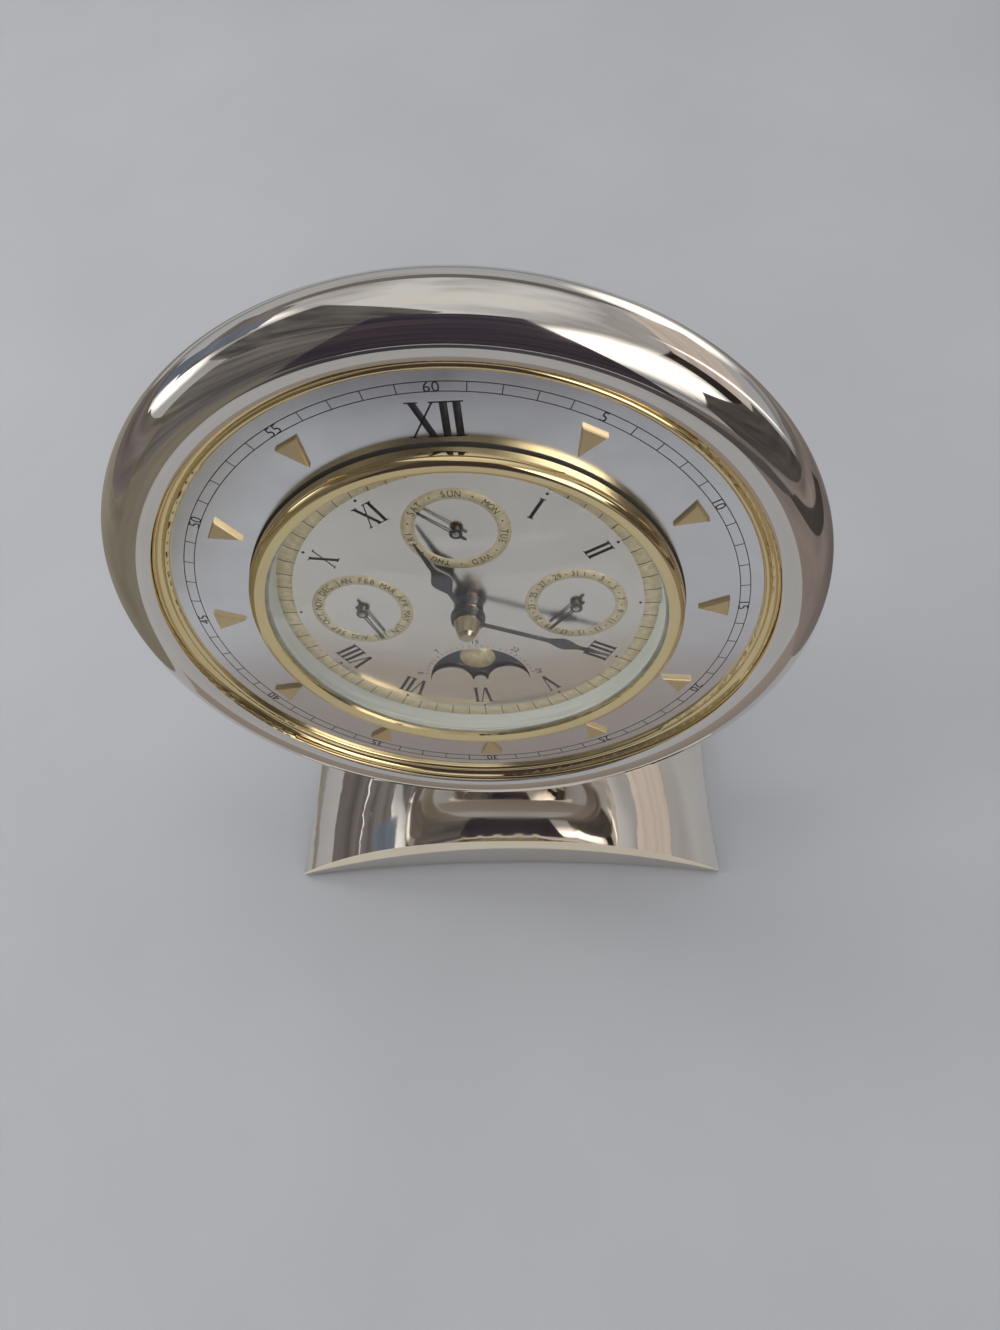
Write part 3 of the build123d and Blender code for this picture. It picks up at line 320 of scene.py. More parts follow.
def roman_letter(sign, left, thick):
    """Strokes and serifs of I, V or X that starts at this place on the line."""
    top = 1 - serif_height
    if sign == "I":
        middle = left + thick / 2
        return [
            stroke(middle, middle, thick),
            serif(middle, thick, 0),
            serif(middle, thick, top),
        ]
    right = left + letter_widths[sign]
    middle = (left + right) / 2
    heavy = left + thick / 2
    light = right - thin_stroke / 2
    if sign == "V":
        return [
            stroke(middle, heavy, thick),
            stroke(middle + thick / 4, light, thin_stroke),
            serif(heavy, thick, top),
            serif(light, thin_stroke, top),
        ]
    return [
        stroke(right - thick / 2, heavy, thick),
        stroke(left + thin_stroke / 2, light, thin_stroke),
        serif(heavy, thick, top),
        serif(light, thin_stroke, top),
        serif(right - thick / 2, thick, 0),
        serif(left + thin_stroke / 2, thin_stroke, 0),
    ]


def roman(word, height, width_share, thick):
    """Outlines of a Roman numeral, centred on zero; its heavy strokes are a share of its height."""
    strokes = []
    reach = 0.0
    for sign in word:
        strokes += roman_letter(sign, reach, thick)
        reach += letter_widths[sign] + letter_gap
    outlines = np.array(strokes) - np.array([(reach - letter_gap) / 2, 0.5])
    return outlines * np.array([height * width_share, height])


# FINISHES


def add_node(finish, kind, **values):
    """A node with the values of its sockets, an underline standing for a space."""
    made = finish.node_tree.nodes.new(kind)
    for socket, value in values.items():
        made.inputs[socket.replace("_", " ")].default_value = value
    return made


def join(finish, output, socket):
    """A link between two sockets."""
    finish.node_tree.links.new(output, socket)


def new_finish(name, colour, metal, roughness):
    """A finish and its shader, with the even values on the shader's own sockets."""
    finish = bpy.data.materials.new(name)
    finish.use_nodes = True
    shader = finish.node_tree.nodes["Principled BSDF"]
    shader.inputs["Base Color"].default_value = (*colour, 1)
    shader.inputs["Metallic"].default_value = metal
    shader.inputs["Roughness"].default_value = roughness
    return finish, shader


def cloud(finish, scale, low, high, detail=3.0, stretch=(1, 1, 1)):
    """Noise in the piece's own coordinates, spread between two values."""
    place = add_node(finish, "ShaderNodeTexCoord")
    size = add_node(finish, "ShaderNodeMapping", Scale=stretch)
    noise = add_node(finish, "ShaderNodeTexNoise", Scale=scale, Detail=detail)
    spread = add_node(finish, "ShaderNodeMapRange", From_Min=0.3, From_Max=0.7, To_Min=low, To_Max=high)
    join(finish, place.outputs["Object"], size.inputs["Vector"])
    join(finish, size.outputs["Vector"], noise.inputs["Vector"])
    join(finish, noise.outputs["Fac"], spread.inputs["Value"])
    return spread.outputs["Result"]


def tint(finish, shader, share, first, second):
    """The shader's colour from two, mixed by a share between nought and one."""
    mix = finish.node_tree.nodes.new("ShaderNodeMix")
    mix.data_type = "RGBA"
    mix.inputs[6].default_value = (*first, 1)
    mix.inputs[7].default_value = (*second, 1)
    join(finish, share, mix.inputs[0])
    join(finish, mix.outputs[2], shader.inputs["Base Color"])


def lighter(colour, gain, lift):
    """A colour made paler by a gain and a small lift."""
    return tuple(min(1, gain * part + lift) for part in colour)


def relief(finish, shader, height, strength, distance):
    """Bump from a height, in millimetres of depth."""
    bump = add_node(finish, "ShaderNodeBump", Strength=strength, Distance=distance * METRES)
    join(finish, height, bump.inputs["Height"])
    join(finish, bump.outputs["Normal"], shader.inputs["Normal"])


def polished(name, colour, stain, roughness=0.035, ripple=0.06):
    """Mirror plate: a slow change of tint, faint handling haze and a barely uneven surface."""
    finish, shader = new_finish(name, colour, 1.0, roughness)
    tint(finish, shader, cloud(finish, 28, 0, 1), colour, stain)
    join(finish, cloud(finish, 60, roughness * 0.6, roughness * 2.2, 5), shader.inputs["Roughness"])
    relief(finish, shader, cloud(finish, 45, 0, 1, 1), 0.12, ripple)
    return finish


def satin(name, colour, stain, roughness, grain, stretch, depth=0.01):
    """Satin metal: fine lines in one direction over a slow change of tint."""
    finish, shader = new_finish(name, colour, 1.0, roughness)
    tint(finish, shader, cloud(finish, 35, 0, 1), colour, stain)
    join(finish, cloud(finish, 90, roughness * 0.8, roughness * 1.2), shader.inputs["Roughness"])
    relief(finish, shader, cloud(finish, grain, 0, 1, 2, stretch), 0.25, depth)
    return finish


def moulded(name, colour, roughness, grain, depth):
    """Moulded plastic with a fine even grain."""
    finish, shader = new_finish(name, colour, 0.0, roughness)
    tint(finish, shader, cloud(finish, 120, 0, 1), colour, lighter(colour, 1.25, 0.01))
    join(finish, cloud(finish, 200, roughness * 0.85, roughness * 1.15), shader.inputs["Roughness"])
    relief(finish, shader, cloud(finish, grain, 0, 1, 2), 0.4, depth)
    return finish


def ink(name, colour, roughness=0.5, metal=0.0):
    """Printing ink or paint laid thin: slightly uneven in shade."""
    finish, shader = new_finish(name, colour, metal, roughness)
    tint(finish, shader, cloud(finish, 700, 0, 1), colour, lighter(colour, 1.3, 0.01))
    relief(finish, shader, cloud(finish, 2500, 0, 1, 2), 0.2, 0.004)
    return finish


def lacquer(name, colour, roughness):
    """Gloss lacquer under a clear coat, with fine dust in its surface."""
    finish, shader = new_finish(name, colour, 0.0, roughness)
    tint(finish, shader, cloud(finish, 300, 0, 1), colour, lighter(colour, 1.5, 0.006))
    shader.inputs["Coat Weight"].default_value = 0.6
    shader.inputs["Coat Roughness"].default_value = 0.08
    relief(finish, shader, cloud(finish, 900, 0, 1, 2), 0.08, 0.01)
    return finish


def enamel(name, colour, shade, roughness):
    """Smooth sprayed paint: a slow change of shade and a faint orange peel."""
    finish, shader = new_finish(name, colour, 0.0, roughness)
    tint(finish, shader, cloud(finish, 60, 0, 1, 2), colour, shade)
    relief(finish, shader, cloud(finish, 700, 0, 1, 2), 0.1, 0.006)
    return finish


def felt():
    """Pressed felt: short tangled fibre with a soft sheen."""
    finish, shader = new_finish("felt", (0.03, 0.03, 0.034), 0.0, 0.95)
    fibre = cloud(finish, 1800, 0, 1, 6)
    tint(finish, shader, fibre, (0.018, 0.018, 0.02), (0.07, 0.07, 0.075))
    shader.inputs["Sheen Weight"].default_value = 0.4
    relief(finish, shader, fibre, 0.8, 0.15)
    return finish


def glass():
    """Clear crystal that lets shadow and diffuse rays through, so that the dial under it is lit."""
    finish, shader = new_finish("crystal_glass", (0.985, 0.99, 0.985), 0.0, 0.0)
    shader.inputs["Transmission Weight"].default_value = 1.0
    shader.inputs["IOR"].default_value = 1.47
    join(finish, cloud(finish, 40, 0.0, 0.012), shader.inputs["Roughness"])
    clear = add_node(finish, "ShaderNodeBsdfTransparent", Color=(0.95, 0.96, 0.95, 1))
    path = add_node(finish, "ShaderNodeLightPath")
    either = add_node(finish, "ShaderNodeMath")
    either.operation = "MAXIMUM"
    mix = add_node(finish, "ShaderNodeMixShader")
    join(finish, path.outputs["Is Shadow Ray"], either.inputs[0])
    join(finish, path.outputs["Is Diffuse Ray"], either.inputs[1])
    join(finish, either.outputs[0], mix.inputs[0])
    join(finish, shader.outputs[0], mix.inputs[1])
    join(finish, clear.outputs[0], mix.inputs[2])
    join(finish, mix.outputs[0], finish.node_tree.nodes["Material Output"].inputs["Surface"])
    return finish


cell_reach = 25.2


def cell_sleeve():
    """Shrink sleeve of the cell: a copper-coloured third, the rest dark, bare metal at the ends."""
    finish, shader = new_finish("cell_sleeve", (0.05, 0.05, 0.055), 0.0, 0.3)
    place = add_node(finish, "ShaderNodeTexCoord")
    split = add_node(finish, "ShaderNodeSeparateXYZ")
    reach = cell_reach * METRES
    along = add_node(finish, "ShaderNodeMapRange", From_Min=-reach, From_Max=reach)
    ramp = add_node(finish, "ShaderNodeValToRGB")
    join(finish, place.outputs["Object"], split.inputs["Vector"])
    join(finish, split.outputs["X"], along.inputs["Value"])
    join(finish, along.outputs["Result"], ramp.inputs["Fac"])
    stops = ramp.color_ramp
    stops.interpolation = "CONSTANT"
    stops.elements[0].color = (0.62, 0.61, 0.6, 1)
    stops.elements[1].position = 0.03
    stops.elements[1].color = (0.035, 0.035, 0.04, 1)
    for position, colour in ((0.66, (0.5, 0.25, 0.1, 1)), (0.965, (0.62, 0.61, 0.6, 1))):
        stops.elements.new(position).color = colour
    join(finish, ramp.outputs["Color"], shader.inputs["Base Color"])
    shader.inputs["Coat Weight"].default_value = 0.3
    join(finish, cloud(finish, 150, 0.22, 0.38), shader.inputs["Roughness"])
    relief(finish, shader, cloud(finish, 120, 0, 1, 1), 0.1, 0.05)
    return finish


nickel = polished("polished_nickel", (0.82, 0.785, 0.735), (0.76, 0.71, 0.64))
gold = polished("polished_gold", (0.92, 0.77, 0.44), (0.84, 0.68, 0.36), 0.05, 0.03)
cap_gold = polished("cap_gold", (0.64, 0.54, 0.37), (0.52, 0.42, 0.27), 0.12, 0.01)
bronze = polished("bronze", (0.42, 0.28, 0.18), (0.34, 0.22, 0.14), 0.15, 0.01)
shell_nickel = satin("satin_nickel", (0.66, 0.64, 0.61), (0.6, 0.58, 0.55), 0.34, 400, (1, 1, 14))
dial_silver = satin("dial_silver", (0.86, 0.86, 0.87), (0.82, 0.82, 0.83), 0.2, 900, (20, 1, 1), 0.004)
dial_cream = satin("dial_cream", (0.95, 0.91, 0.85), (0.92, 0.87, 0.80), 0.2, 900, (20, 1, 1), 0.004)
marker_gold = satin("marker_gold", (0.80, 0.66, 0.40), (0.76, 0.61, 0.35), 0.42, 1500, (1, 1, 1), 0.01)
brass = satin("turned_brass", (0.78, 0.60, 0.28), (0.7, 0.52, 0.23), 0.28, 500, (1, 1, 8))
zinc_steel = satin("zinc_steel", (0.68, 0.69, 0.72), (0.6, 0.6, 0.62), 0.3, 600, (1, 1, 5))
black_steel = satin("black_steel", (0.09, 0.09, 0.1), (0.13, 0.13, 0.14), 0.4, 700, (1, 1, 5))
spring_steel = satin("spring_steel", (0.72, 0.72, 0.74), (0.66, 0.66, 0.68), 0.25, 600, (1, 9, 1))
rehaut_paint = enamel("rehaut_paint", (0.74, 0.77, 0.73), (0.70, 0.74, 0.69), 0.3)
gold_paint = ink("gold_paint", (0.68, 0.58, 0.38), 0.45, 0.35)
gilt = ink("gilt_moon", (0.72, 0.60, 0.36), 0.4, 0.6)
black_ink = ink("black_ink", (0.012, 0.012, 0.015))
rubber = moulded("gasket_rubber", (0.02, 0.02, 0.02), 0.6, 1500, 0.01)
clear_seal = moulded("clear_seal", (0.55, 0.58, 0.55), 0.35, 1500, 0.005)
hand_lacquer = lacquer("hand_lacquer", (0.018, 0.018, 0.02), 0.25)
night_blue = lacquer("night_blue", (0.006, 0.009, 0.026), 0.35)
housing_black = moulded("housing_moulding", (0.035, 0.035, 0.038), 0.5, 1400, 0.03)
knob_black = moulded("knob_moulding", (0.04, 0.04, 0.043), 0.42, 1200, 0.02)
plunger_ivory = moulded("plunger_moulding", (0.62, 0.6, 0.55), 0.4, 1200, 0.01)
black_felt = felt()
crystal_glass = glass()
sleeve = cell_sleeve()

node_finishes = {
    nickel: ("pedestal", "case_ring"),
    gold: ("trim_ring", "bezel_ring"),
    cap_gold: ("hand_cap",),
    bronze: ("hour_collar",),
    shell_nickel: ("rear_rim", "drum"),
    dial_silver: ("chapter_plate",),
    dial_cream: ("inner_dial",),
    marker_gold: ("hour_markers",),
    brass: (
        "calendar_plate", "ring_nut", "minute_arbor", "minute_wheel", "hour_wheel", "chapter_nut",
        "day_star", "date_star", "month_star", "setting_arbor", "dial_spacer",
    ),
    zinc_steel: ("case_screws", "housing_screws"),
    black_steel: ("neck_bolts", "dial_eyelet"),
    spring_steel: ("battery_contacts",),
    rehaut_paint: ("rehaut",),
    rubber: ("bezel_gasket",),
    clear_seal: ("crystal_seal",),
    hand_lacquer: ("hour_hand", "minute_hand", "day_pointer", "date_pointer", "month_pointer"),
    night_blue: ("moon_disc",),
    housing_black: ("movement_housing",),
    knob_black: ("setting_knob",),
    plunger_ivory: ("day_corrector", "date_corrector", "month_corrector", "moon_corrector"),
    black_felt: ("foot_pad",),
    crystal_glass: ("crystal",),
    sleeve: ("battery",),
}
for finish, names in node_finishes.items():
    for name in names:
        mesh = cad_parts[name].data
        mesh.materials.clear()
        mesh.materials.append(finish)

# POLISHED TURNED PIECES

# Case ring
ring_radius = 77.0
ring_section = 8.8
ring_depth = -5.0
ring_bore = 73.5
ring_back = -10.2
ledge_radius = 69.0
ledge_top = -1.2
ledge_bottom = -3.4
ring_steps = 384
ring_round_steps = 96
ring_crease = 35


def make_case_ring():
    """The polished ring: a round section cut off by the bore and by the flat back."""
    first = -np.degrees(np.arcsin((ring_depth - ring_back) / ring_section))
    last = 180 - np.degrees(np.arccos((ring_radius - ring_bore) / ring_section))
    round_part = arc(ring_radius, ring_depth, ring_section, first, last, ring_round_steps)
    seat = [
        (ring_bore, ledge_top),
        (ledge_radius, ledge_top),
        (ledge_radius, ledge_bottom),
        (ring_bore, ledge_bottom),
        (ring_bore, ring_back),
    ]
    ring = make_piece(
        "case_ring_skin",
        [turned(np.concatenate([round_part, seat]), steps=ring_steps)],
        nickel,
        "clock_case",
        ring_crease,
    )
    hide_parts("case_ring")


# Bezel
bezel_outer = 51.7
bezel_foot = 0.45
bezel_shoulder = 2.5
bezel_crest_radius = 49.9
bezel_crest = 4.6
bezel_lip_radius = 47.8
bezel_lip_top = 4.1
bezel_lip_bottom = 3.15
bezel_bore = 48.8
bezel_tube = 50.3
bezel_tube_end = -8.8
bezel_steps = 320
bezel_round_steps = 24
bezel_crease = 30


def make_bezel():
    """The gold bezel: a quarter-round shoulder up to the crest, then down to the lip."""
    angle = np.linspace(0, pi / 2, bezel_round_steps)
    across_reach = bezel_outer - bezel_crest_radius
    rise = bezel_crest - bezel_shoulder
    radius = bezel_crest_radius + across_reach * np.cos(angle)
    shoulder = np.stack([radius, bezel_shoulder + rise * np.sin(angle)], axis=-1)
    inner = [
        (bezel_lip_radius, bezel_lip_top),
        (bezel_lip_radius, bezel_lip_bottom),
        (bezel_bore, bezel_lip_bottom),
        (bezel_bore, bezel_tube_end),
        (bezel_tube, bezel_tube_end),
        (bezel_tube, bezel_foot),
        (bezel_outer, bezel_foot),
    ]
    bezel = make_piece(
        "bezel_skin",
        [turned(np.concatenate([shoulder, inner]), steps=bezel_steps)],
        gold,
        "clock_case",
        bezel_crease,
    )
    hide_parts("bezel_ring")


# Crystal
crystal_apex = 9.6
crystal_rim = 47.65
crystal_flange = 48.75
crystal_top = 3.15
crystal_bottom = 1.65
crystal_wall = 1.5
crystal_dome_steps = 64
crystal_crease = 30


def make_crystal():
    """The crystal: two domed sections a wall apart, joined at the flange."""
    outside = dome(crystal_apex, crystal_rim, crystal_top, crystal_dome_steps)
    inner_apex = crystal_apex - crystal_wall
    inner_rim = crystal_rim - crystal_wall
    inside = dome(inner_apex, inner_rim, crystal_bottom, crystal_dome_steps)[::-1]
    flange = [(crystal_flange, crystal_top), (crystal_flange, crystal_bottom)]
    crystal = make_piece(
        "crystal_skin",
        [turned(np.concatenate([outside, flange, inside]))],
        crystal_glass,
        "clock_case",
        crystal_crease,
    )
    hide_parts("crystal")


make_case_ring()
make_bezel()
make_crystal()

# OUTER DIAL PRINTING

hours = np.arange(12)
minutes = np.arange(60)


def make_outer_printing():
    """Minute track, minute numerals and the twelve on the outer dial."""
    half = track_line / 2
    low, high = 0.0, print_height
    parts = [
        band(track_outer_radius - half, track_outer_radius + half, low, high),
        band(track_inner_radius - half, track_inner_radius + half, low, high),
    ]
    plain = minutes[minutes % 5 != 0] * 6
    parts.append(prisms(ticks(plain, track_inner_radius, track_outer_radius, track_line), low, high))
    for hour in hours:
        numeral = str(60 if hour == 0 else 5 * hour)
        parts.append(printed(numeral, minute_numeral_height, 30 * hour, minute_numeral_radius, 0))
    twelve = roman("XII", twelve_height, twelve_width_share, outer_thick_stroke)
    parts.append(prisms(turned_outlines(twelve, 0, twelve_radius), low, high))
    make_piece("outer_printing", parts, black_ink, "clock_case")


make_outer_printing()

# INNER DIAL PRINTING

small_dials = {
    "day": (0.0, small_dial_offset),
    "date": (small_dial_offset, 0.0),
    "month": (-small_dial_offset, 0.0),
}
longest_month = 31
day_names = ("SUN", "MON", "TUE", "WED", "THU", "FRI", "SAT")
month_names = ("JAN", "FEB", "MAR", "APR", "MAY", "JUN", "JUL", "AUG", "SEP", "OCT", "NOV", "DEC")
hour_names = {1: "I", 2: "II", 4: "IIII", 5: "V", 6: "VI", 7: "VII", 8: "VIII", 10: "X", 11: "XI"}


def make_gold_rings():
    """The gold hour ring and the gold rings of the small dials."""
    low = inner_face
    high = inner_face + print_height
    parts = [band(hour_ring_inner, hour_ring_outer, low, high)]
    for across, up in small_dials.values():
        parts.append(band(small_ring_inner, small_ring_outer, low, high, across, up, small_ring_steps))
    make_piece("gold_rings", parts, gold_paint, "clock_case")


def small_print(text, azimuth, spot):
    """One sign on the gold ring of a small dial."""
    level = inner_face + print_height
    return printed(text, small_letter_height, azimuth, small_letter_radius, level, *spot, small_width_share)


def word_round(word, middle, spot, spacing):
    """Three letters set round a small dial, each on its own spoke."""
    return [small_print(sign, middle + spacing * (place - 1), spot) for place, sign in enumerate(word)]


def day_printing(low, high):
    """Day names with a dot between neighbours."""
    spot = small_dials["day"]
    step = 360 / len(day_names)
    parts = []
    for place, name in enumerate(day_names):
        parts += word_round(name, step * place, spot, day_letter_spacing)
    between = step * (np.arange(len(day_names)) + 0.5)
    return parts + dots(between, small_letter_radius, day_dot_size, low, high, *spot)


def month_printing():
    """Month names, the first just before the top."""
    parts = []
    for place, name in enumerate(month_names):
        parts += word_round(name, 30 * place - 15, small_dials["month"], month_letter_spacing)
    return parts


def date_printing(low, high):
    """Odd dates as numbers and even ones as dots."""
    spot = small_dials["date"]
    step = 360 / longest_month
    parts = [small_print(str(number), step * number, spot) for number in range(1, longest_month + 1, 2)]
    even = step * np.arange(2, longest_month, 2)
    return parts + dots(even, small_letter_radius, date_dot_size, low, high, *spot)


def moon_age_printing(base, high):
    """The moon's age in days on an arc over the window, with a row of ticks under it."""
    parts = []
    spokes = np.linspace(-moon_age_reach, moon_age_reach, len(moon_age_days))
    for number, azimuth in zip(moon_age_days, spokes):
        age = printed(str(number), moon_age_height, azimuth, moon_age_radius, base, 0, moon_centre_up)
        parts.append(age)
    age_ticks = np.linspace(-moon_age_reach, moon_age_reach, moon_age_ticks)
    marks = ticks(age_ticks, moon_tick_inner, moon_tick_outer, moon_tick_line, 0, moon_centre_up)
    return parts + [prisms(marks, base, high)]


def make_inner_printing():
    """Everything black on the inner dial: ticks, dots, numerals, names and the moon's age."""
    low = inner_face + print_height
    high = low + ink_lift
    base = inner_face
    parts = [prisms(ticks(minutes * 6, hour_ring_inner, hour_ring_outer, hour_tick_line), low, high)]
    parts += dots(hours[1:] * 30, hour_dot_radius, hour_dot_size, base, high)
    for hour, word in hour_names.items():
        numeral = roman(word, hour_numeral_height, hour_width_share, inner_thick_stroke)
        parts.append(prisms(turned_outlines(numeral, 30 * hour, hour_numeral_radius), base, high))
    parts += day_printing(low, high) + month_printing() + date_printing(low, high)
    parts += moon_age_printing(base, high)
    make_piece("inner_printing", parts, black_ink, "clock_case")


def make_moons():
    """Two gilt moons on opposite sides of the turning disc."""
    top = moon_face + ink_lift
    disc = [(0, moon_face), (0, top), (moon_radius, top), (moon_radius, moon_face)]
    parts = [turned(disc, 0, moon_centre_up + side * moon_offset, moon_steps) for side in (-1, 1)]
    make_piece("moon_pair", parts, gilt, "moon_work")


def make_pointer_pins():
    """Pale domed pin heads in the hubs of the three small pointers."""
    head = dome(pin_top, pin_radius, pin_edge, pin_dome_steps)
    section = np.concatenate([head, [(pin_radius, pin_foot), (0, pin_foot)]])
    for name, spot in small_dials.items():
        pin = [turned(section, *spot, pin_steps)]
        make_piece(name + "_pin", pin, zinc_steel, name + "_work", pin_crease)


make_gold_rings()
make_inner_printing()
make_moons()
make_pointer_pins()

# STAGE

floor_reach = 4.0


def make_floor():
    """A wide pale table top with a faint stony mottle."""
    corners = np.array([(-1, -1, 0), (1, -1, 0), (1, 1, 0), (-1, 1, 0)]) * floor_reach
    mesh = bpy.data.meshes.new("floor")
    mesh.from_pydata([tuple(corner) for corner in corners], [], [(0, 1, 2, 3)])
    finish, shader = new_finish("floor", (0.44, 0.45, 0.47), 0.0, 0.9)
    shader.inputs["Specular IOR Level"].default_value = 0.0
    mottle = cloud(finish, 9, 0, 1, 8)
    tint(finish, shader, mottle, (0.43, 0.44, 0.46), (0.465, 0.475, 0.495))
    mesh.materials.append(finish)
    floor = bpy.data.objects.new("floor", mesh)
    scene.collection.objects.link(floor)


def polish_only(name, centre, size, tilt, turn, finish):
    """A flat card that only shows in the polish: tilted up from level, then turned about the vertical."""
    half_width, half_height = size[0] / 2, size[1] / 2
    flat = np.array([(-1, -1, 0), (1, -1, 0), (1, 1, 0), (-1, 1, 0)]) * (half_width, half_height, 0)
    spin = np.array(Matrix.Rotation(radians(turn), 3, "Z") @ Matrix.Rotation(radians(tilt), 3, "X"))
    corners = flat @ spin.T + np.array(centre)
    mesh = bpy.data.meshes.new(name)
    mesh.from_pydata([tuple(corner) for corner in corners], [], [(0, 1, 2, 3)])
    spread = mesh.uv_layers.new(name="spread")
    spread.data.foreach_set("uv", np.array([(0, 0), (1, 0), (1, 1), (0, 1)], dtype=np.float32).ravel())
    mesh.materials.append(finish)
    card = bpy.data.objects.new(name, mesh)
    scene.collection.objects.link(card)
    card.visible_camera = False
    card.visible_shadow = False
    card.visible_diffuse = False


def make_card(name, centre, size, tilt, turn, first, second):
    """A card in two streaky tones, the streaks level."""
    finish, shader = new_finish(name, first, 0.0, 0.9)
    streaks = cloud(finish, 2.5, 0, 1, 5, (1, 1, 7))
    tint(finish, shader, streaks, first, second)
    polish_only(name, centre, size, tilt, turn, finish)


def make_glow(name, centre, size, tilt, turn, colour, strength):
    """A pale window, brightest in its middle and fading to nothing at its edges."""
    finish, shader = new_finish(name, colour, 0.0, 0.9)
    place = add_node(finish, "ShaderNodeTexCoord")
    middle = add_node(finish, "ShaderNodeMapping", Location=(-0.5, -0.5, 0))
    away = add_node(finish, "ShaderNodeVectorMath")
    away.operation = "LENGTH"
    fade = add_node(finish, "ShaderNodeMapRange", From_Min=0.5, From_Max=0.15)
    fade.interpolation_type = "SMOOTHSTEP"
    patchy = add_node(finish, "ShaderNodeMath")
    patchy.operation = "MULTIPLY"
    clear = add_node(finish, "ShaderNodeBsdfTransparent")
    bright = add_node(finish, "ShaderNodeEmission", Color=(*colour, 1), Strength=strength)
    mix = add_node(finish, "ShaderNodeMixShader")
    join(finish, place.outputs["UV"], middle.inputs["Vector"])
    join(finish, middle.outputs["Vector"], away.inputs[0])
    join(finish, away.outputs["Value"], fade.inputs["Value"])
    join(finish, fade.outputs["Result"], patchy.inputs[0])
    join(finish, cloud(finish, 5, 0.55, 1, 4, (1, 1, 3)), patchy.inputs[1])
    join(finish, patchy.outputs[0], mix.inputs[0])
    join(finish, clear.outputs[0], mix.inputs[1])
    join(finish, bright.outputs[0], mix.inputs[2])
    join(finish, mix.outputs[0], finish.node_tree.nodes["Material Output"].inputs["Surface"])
    finish.node_tree.nodes.remove(shader)
    polish_only(name, centre, size, tilt, turn, finish)


def make_lamp(name, place, aim, size, power, colour):
    """A soft rectangular lamp that faces a point and doesn't show in the polish, where the glows do."""
    light = bpy.data.lights.new(name, "AREA")
    light.shape = "RECTANGLE"
    light.size, light.size_y = size
    light.energy = power
    light.color = colour
    lamp = bpy.data.objects.new(name, light)
    back = np.array(place) - np.array(aim)
    back = back / np.linalg.norm(back)
    right = np.cross((0, 0, 1), back)
    right = right / np.linalg.norm(right)
    above = np.cross(back, right)
    turn = Matrix(np.stack([right, above, back], axis=1).tolist()).to_4x4()
    lamp.matrix_world = Matrix.Translation(place) @ turn
    lamp.visible_glossy = False
    scene.collection.objects.link(lamp)


def make_world():
    """A plain studio: pale grey walls with soft patches, paler overhead."""
    world = bpy.data.worlds.new("room")
    scene.world = world
    world.use_nodes = True
    place = add_node(world, "ShaderNodeTexCoord")
    split = add_node(world, "ShaderNodeSeparateXYZ")
    patches = add_node(world, "ShaderNodeTexNoise", Scale=2.2, Detail=2.0)
    lift = add_node(world, "ShaderNodeMapRange", From_Min=0.35, From_Max=0.65, To_Min=-0.22, To_Max=0.22)
    height = add_node(world, "ShaderNodeMath")
    ramp = add_node(world, "ShaderNodeValToRGB")
    stops = ramp.color_ramp
    stops.elements[0].position = 0.0
    stops.elements[0].color = (0.40, 0.41, 0.43, 1)
    stops.elements[1].position = 1.0
    stops.elements[1].color = (0.66, 0.67, 0.69, 1)
    for position, colour in ((0.3, (0.44, 0.44, 0.45, 1)), (0.6, (0.36, 0.35, 0.35, 1))):
        stops.elements.new(position).color = colour
    join(world, place.outputs["Generated"], split.inputs["Vector"])
    join(world, place.outputs["Generated"], patches.inputs["Vector"])
    join(world, patches.outputs["Fac"], lift.inputs["Value"])
    join(world, split.outputs["Z"], height.inputs[0])
    join(world, lift.outputs["Result"], height.inputs[1])
    join(world, height.outputs[0], ramp.inputs["Fac"])
    join(world, ramp.outputs["Color"], world.node_tree.nodes["Background"].inputs["Color"])


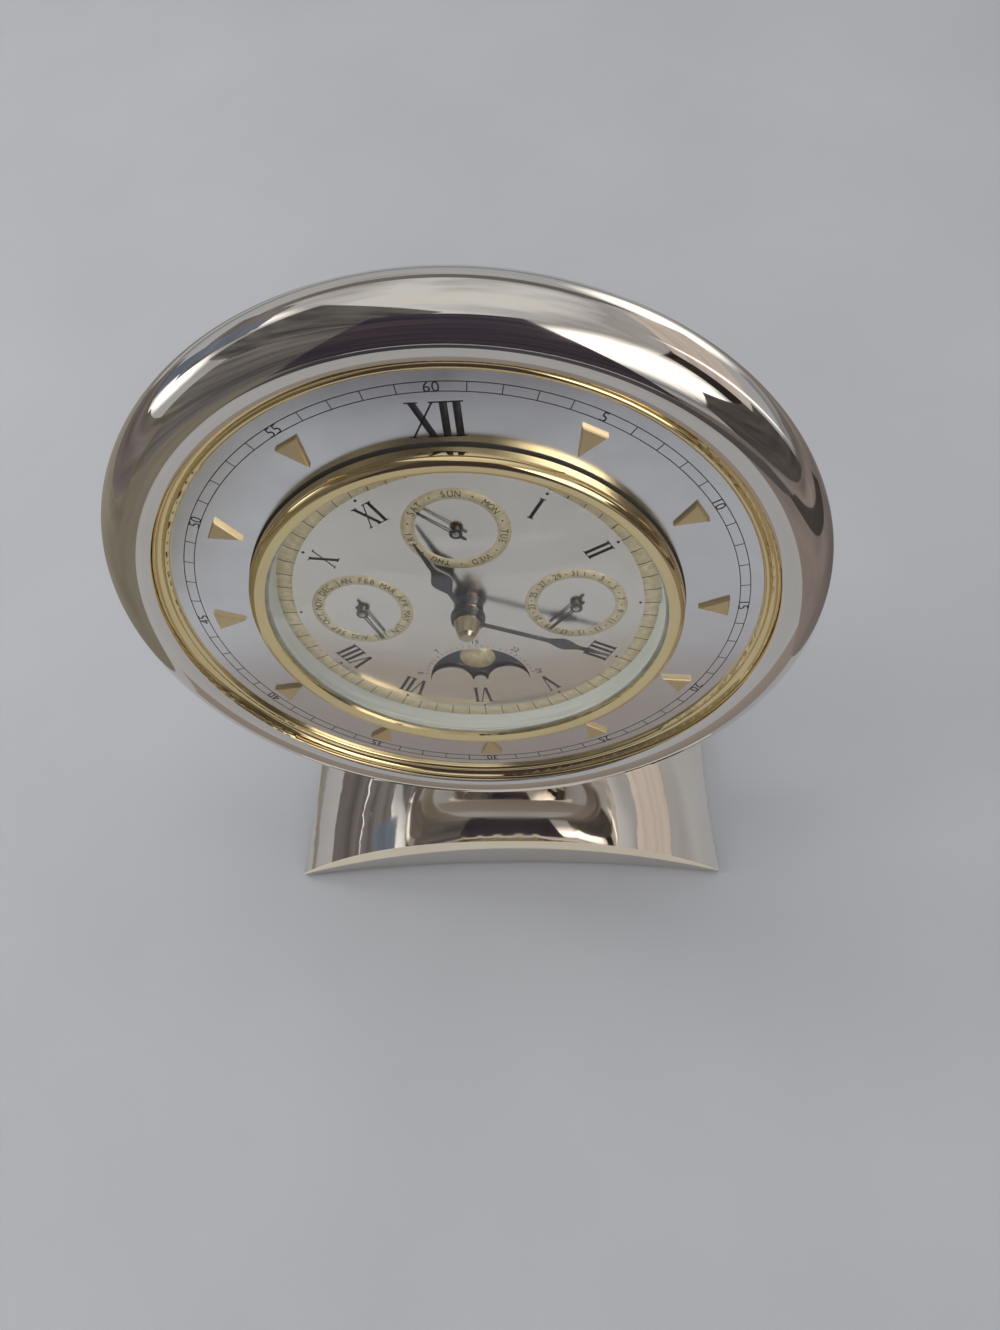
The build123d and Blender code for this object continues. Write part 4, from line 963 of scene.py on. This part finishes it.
# Each card: centre and size in metres, tilt and turn in degrees, its two tones
cards = {
    "front_card": ((-0.03, -0.55, 0.41), (0.46, 0.82), 80, 0, (0.02, 0.02, 0.05), (0.10, 0.07, 0.08)),
    "front_left": ((-0.56, -0.5, 0.38), (0.66, 0.7), 82, -32, (0.10, 0.095, 0.095), (0.30, 0.28, 0.27)),
    "far_table": ((0.12, -0.47, 0.002), (0.62, 0.2), 0, 0, (0.03, 0.03, 0.04), (0.09, 0.08, 0.08)),
    "right_card": ((0.8, -0.15, 0.55), (0.6, 0.36), 70, 80, (0.015, 0.012, 0.012), (0.06, 0.045, 0.04)),
    "left_card": ((-0.7, -0.35, 0.16), (0.9, 0.26), 80, -65, (0.17, 0.15, 0.11), (0.30, 0.27, 0.22)),
    "front_table": ((0.03, -0.1, 0.001), (0.36, 0.08), 0, 0, (0.26, 0.23, 0.21), (0.32, 0.28, 0.255)),
    "front_strip": ((0, -0.0505, 0.001), (0.17, 0.012), 0, 0, (0.80, 0.76, 0.64), (0.92, 0.88, 0.78)),
    "rose_card": ((0.55, 0.18, 0.46), (0.6, 0.36), 80, -75, (0.60, 0.51, 0.46), (0.82, 0.74, 0.68)),
    "right_wall": ((0.69, -0.4, 0.19), (0.9, 0.36), 90, 60, (0.05, 0.045, 0.045), (0.15, 0.13, 0.12)),
    "left_low": ((-0.40, 0.03, 0.15), (0.5, 0.14), 90, -90, (0.16, 0.14, 0.135), (0.40, 0.35, 0.335)),
    "left_wall": ((-0.6, 0.3, 0.56), (0.4, 0.42), 75, 60, (0.16, 0.14, 0.135), (0.32, 0.29, 0.28)),
    "left_upper": ((-0.5, -0.29, 0.87), (1.0, 0.6), 40, -60, (0.11, 0.10, 0.10), (0.36, 0.34, 0.32)),
    "blue_card": ((-0.5, 0.2, 0.42), (0.14, 0.5), 80, 70, (0.17, 0.21, 0.28), (0.26, 0.31, 0.39)),
    "back_card": ((-0.2, 0.7, 0.7), (1.5, 0.4), 60, 0, (0.08, 0.075, 0.075), (0.2, 0.18, 0.17)),
    "left_table": ((-0.7, -0.2, 0.001), (1.06, 1.4), 0, 0, (0.13, 0.12, 0.09), (0.27, 0.25, 0.20)),
    "right_table": ((0.7, -0.2, 0.001), (1.1, 1.4), 0, 0, (0.10, 0.085, 0.08), (0.32, 0.27, 0.25)),
    "right_edge": ((0.42, -0.12, 0.002), (0.14, 0.5), 0, 0, (0.02, 0.018, 0.018), (0.06, 0.05, 0.045)),
}

window_white = (1, 0.98, 0.95)

# Each glow: centre and size in metres, tilt and turn in degrees, colour and strength
glows = {
    "left_glow": ((-1.09, 0.09, 0.5), (0.6, 0.6), 75, -95, window_white, 2.4),
    "far_left_glow": ((-0.98, 0.42, 0.8), (0.45, 1.1), 60, -113, window_white, 1.7),
    "front_right_glow": ((0.45, -0.62, 0.50), (1.1, 0.8), 68, 38, (1, 0.95, 0.9), 3.0),
    "right_near_glow": ((0.448, 0.039, 0.34), (0.05, 0.5), 90, 95, window_white, 2.2),
    "right_far_glow": ((0.87, -0.23, 0.3), (0.12, 0.9), 90, 75, window_white, 2.2),
    "top_glow": ((0.1, 0.0, 1.28), (1.5, 0.9), 0, 0, (1, 0.97, 0.93), 0.7),
    "right_glow": ((0.52, 0.74, 0.3), (0.7, 0.7), 90, -35, (1, 0.98, 0.9), 2.4),
}

# Each lamp: place, the point it faces and size in metres, power in watts and colour
lamps = {
    "window_left": ((-1.1, -0.1, 0.75), (0, 0, 0.12), (0.28, 0.8), 3.6, window_white),
    "window_left_far": ((-1.0, 0.42, 0.8), (0, 0, 0.12), (0.2, 0.8), 3.0, window_white),
    "overhead": ((0.1, 0.35, 1.3), (0, 0, 0.1), (1.1, 0.6), 4.5, (1, 1, 1)),
    "front_fill": ((0.3, -1.6, 0.7), (0, 0, 0.1), (1.6, 0.5), 4, (0.96, 0.98, 1)),
}

make_floor()
for name, values in cards.items():
    make_card(name, *values)
for name, values in glows.items():
    make_glow(name, *values)
for name, values in lamps.items():
    make_lamp(name, *values)
make_world()

# CAMERA

camera_place = (0.02873, -0.13619, 0.33828)
camera_yaw = 0.177
camera_pitch = -1.126
camera_roll = 0.181
picture_width = 1000
focal_pixels = 1011.05
sensor_width = 36
shift_across = -0.01265
shift_up = 0.03341


def make_camera():
    """The photograph's viewpoint: yaw, then pitch, then roll, with level as the start."""
    camera = bpy.data.cameras.new("camera")
    camera.sensor_fit = "HORIZONTAL"
    camera.sensor_width = sensor_width
    camera.lens = focal_pixels * sensor_width / picture_width
    camera.shift_x = shift_across
    camera.shift_y = shift_up
    camera.clip_start = 0.01
    holder = bpy.data.objects.new("camera", camera)
    turn = (
        Matrix.Rotation(camera_yaw, 4, "Z")
        @ Matrix.Rotation(camera_pitch, 4, "X")
        @ Matrix.Rotation(camera_roll, 4, "Y")
        @ Matrix.Rotation(pi / 2, 4, "X")
    )
    holder.matrix_world = Matrix.Translation(camera_place) @ turn
    scene.collection.objects.link(holder)
    scene.camera = holder


make_camera()
scene.view_settings.view_transform = "Standard"
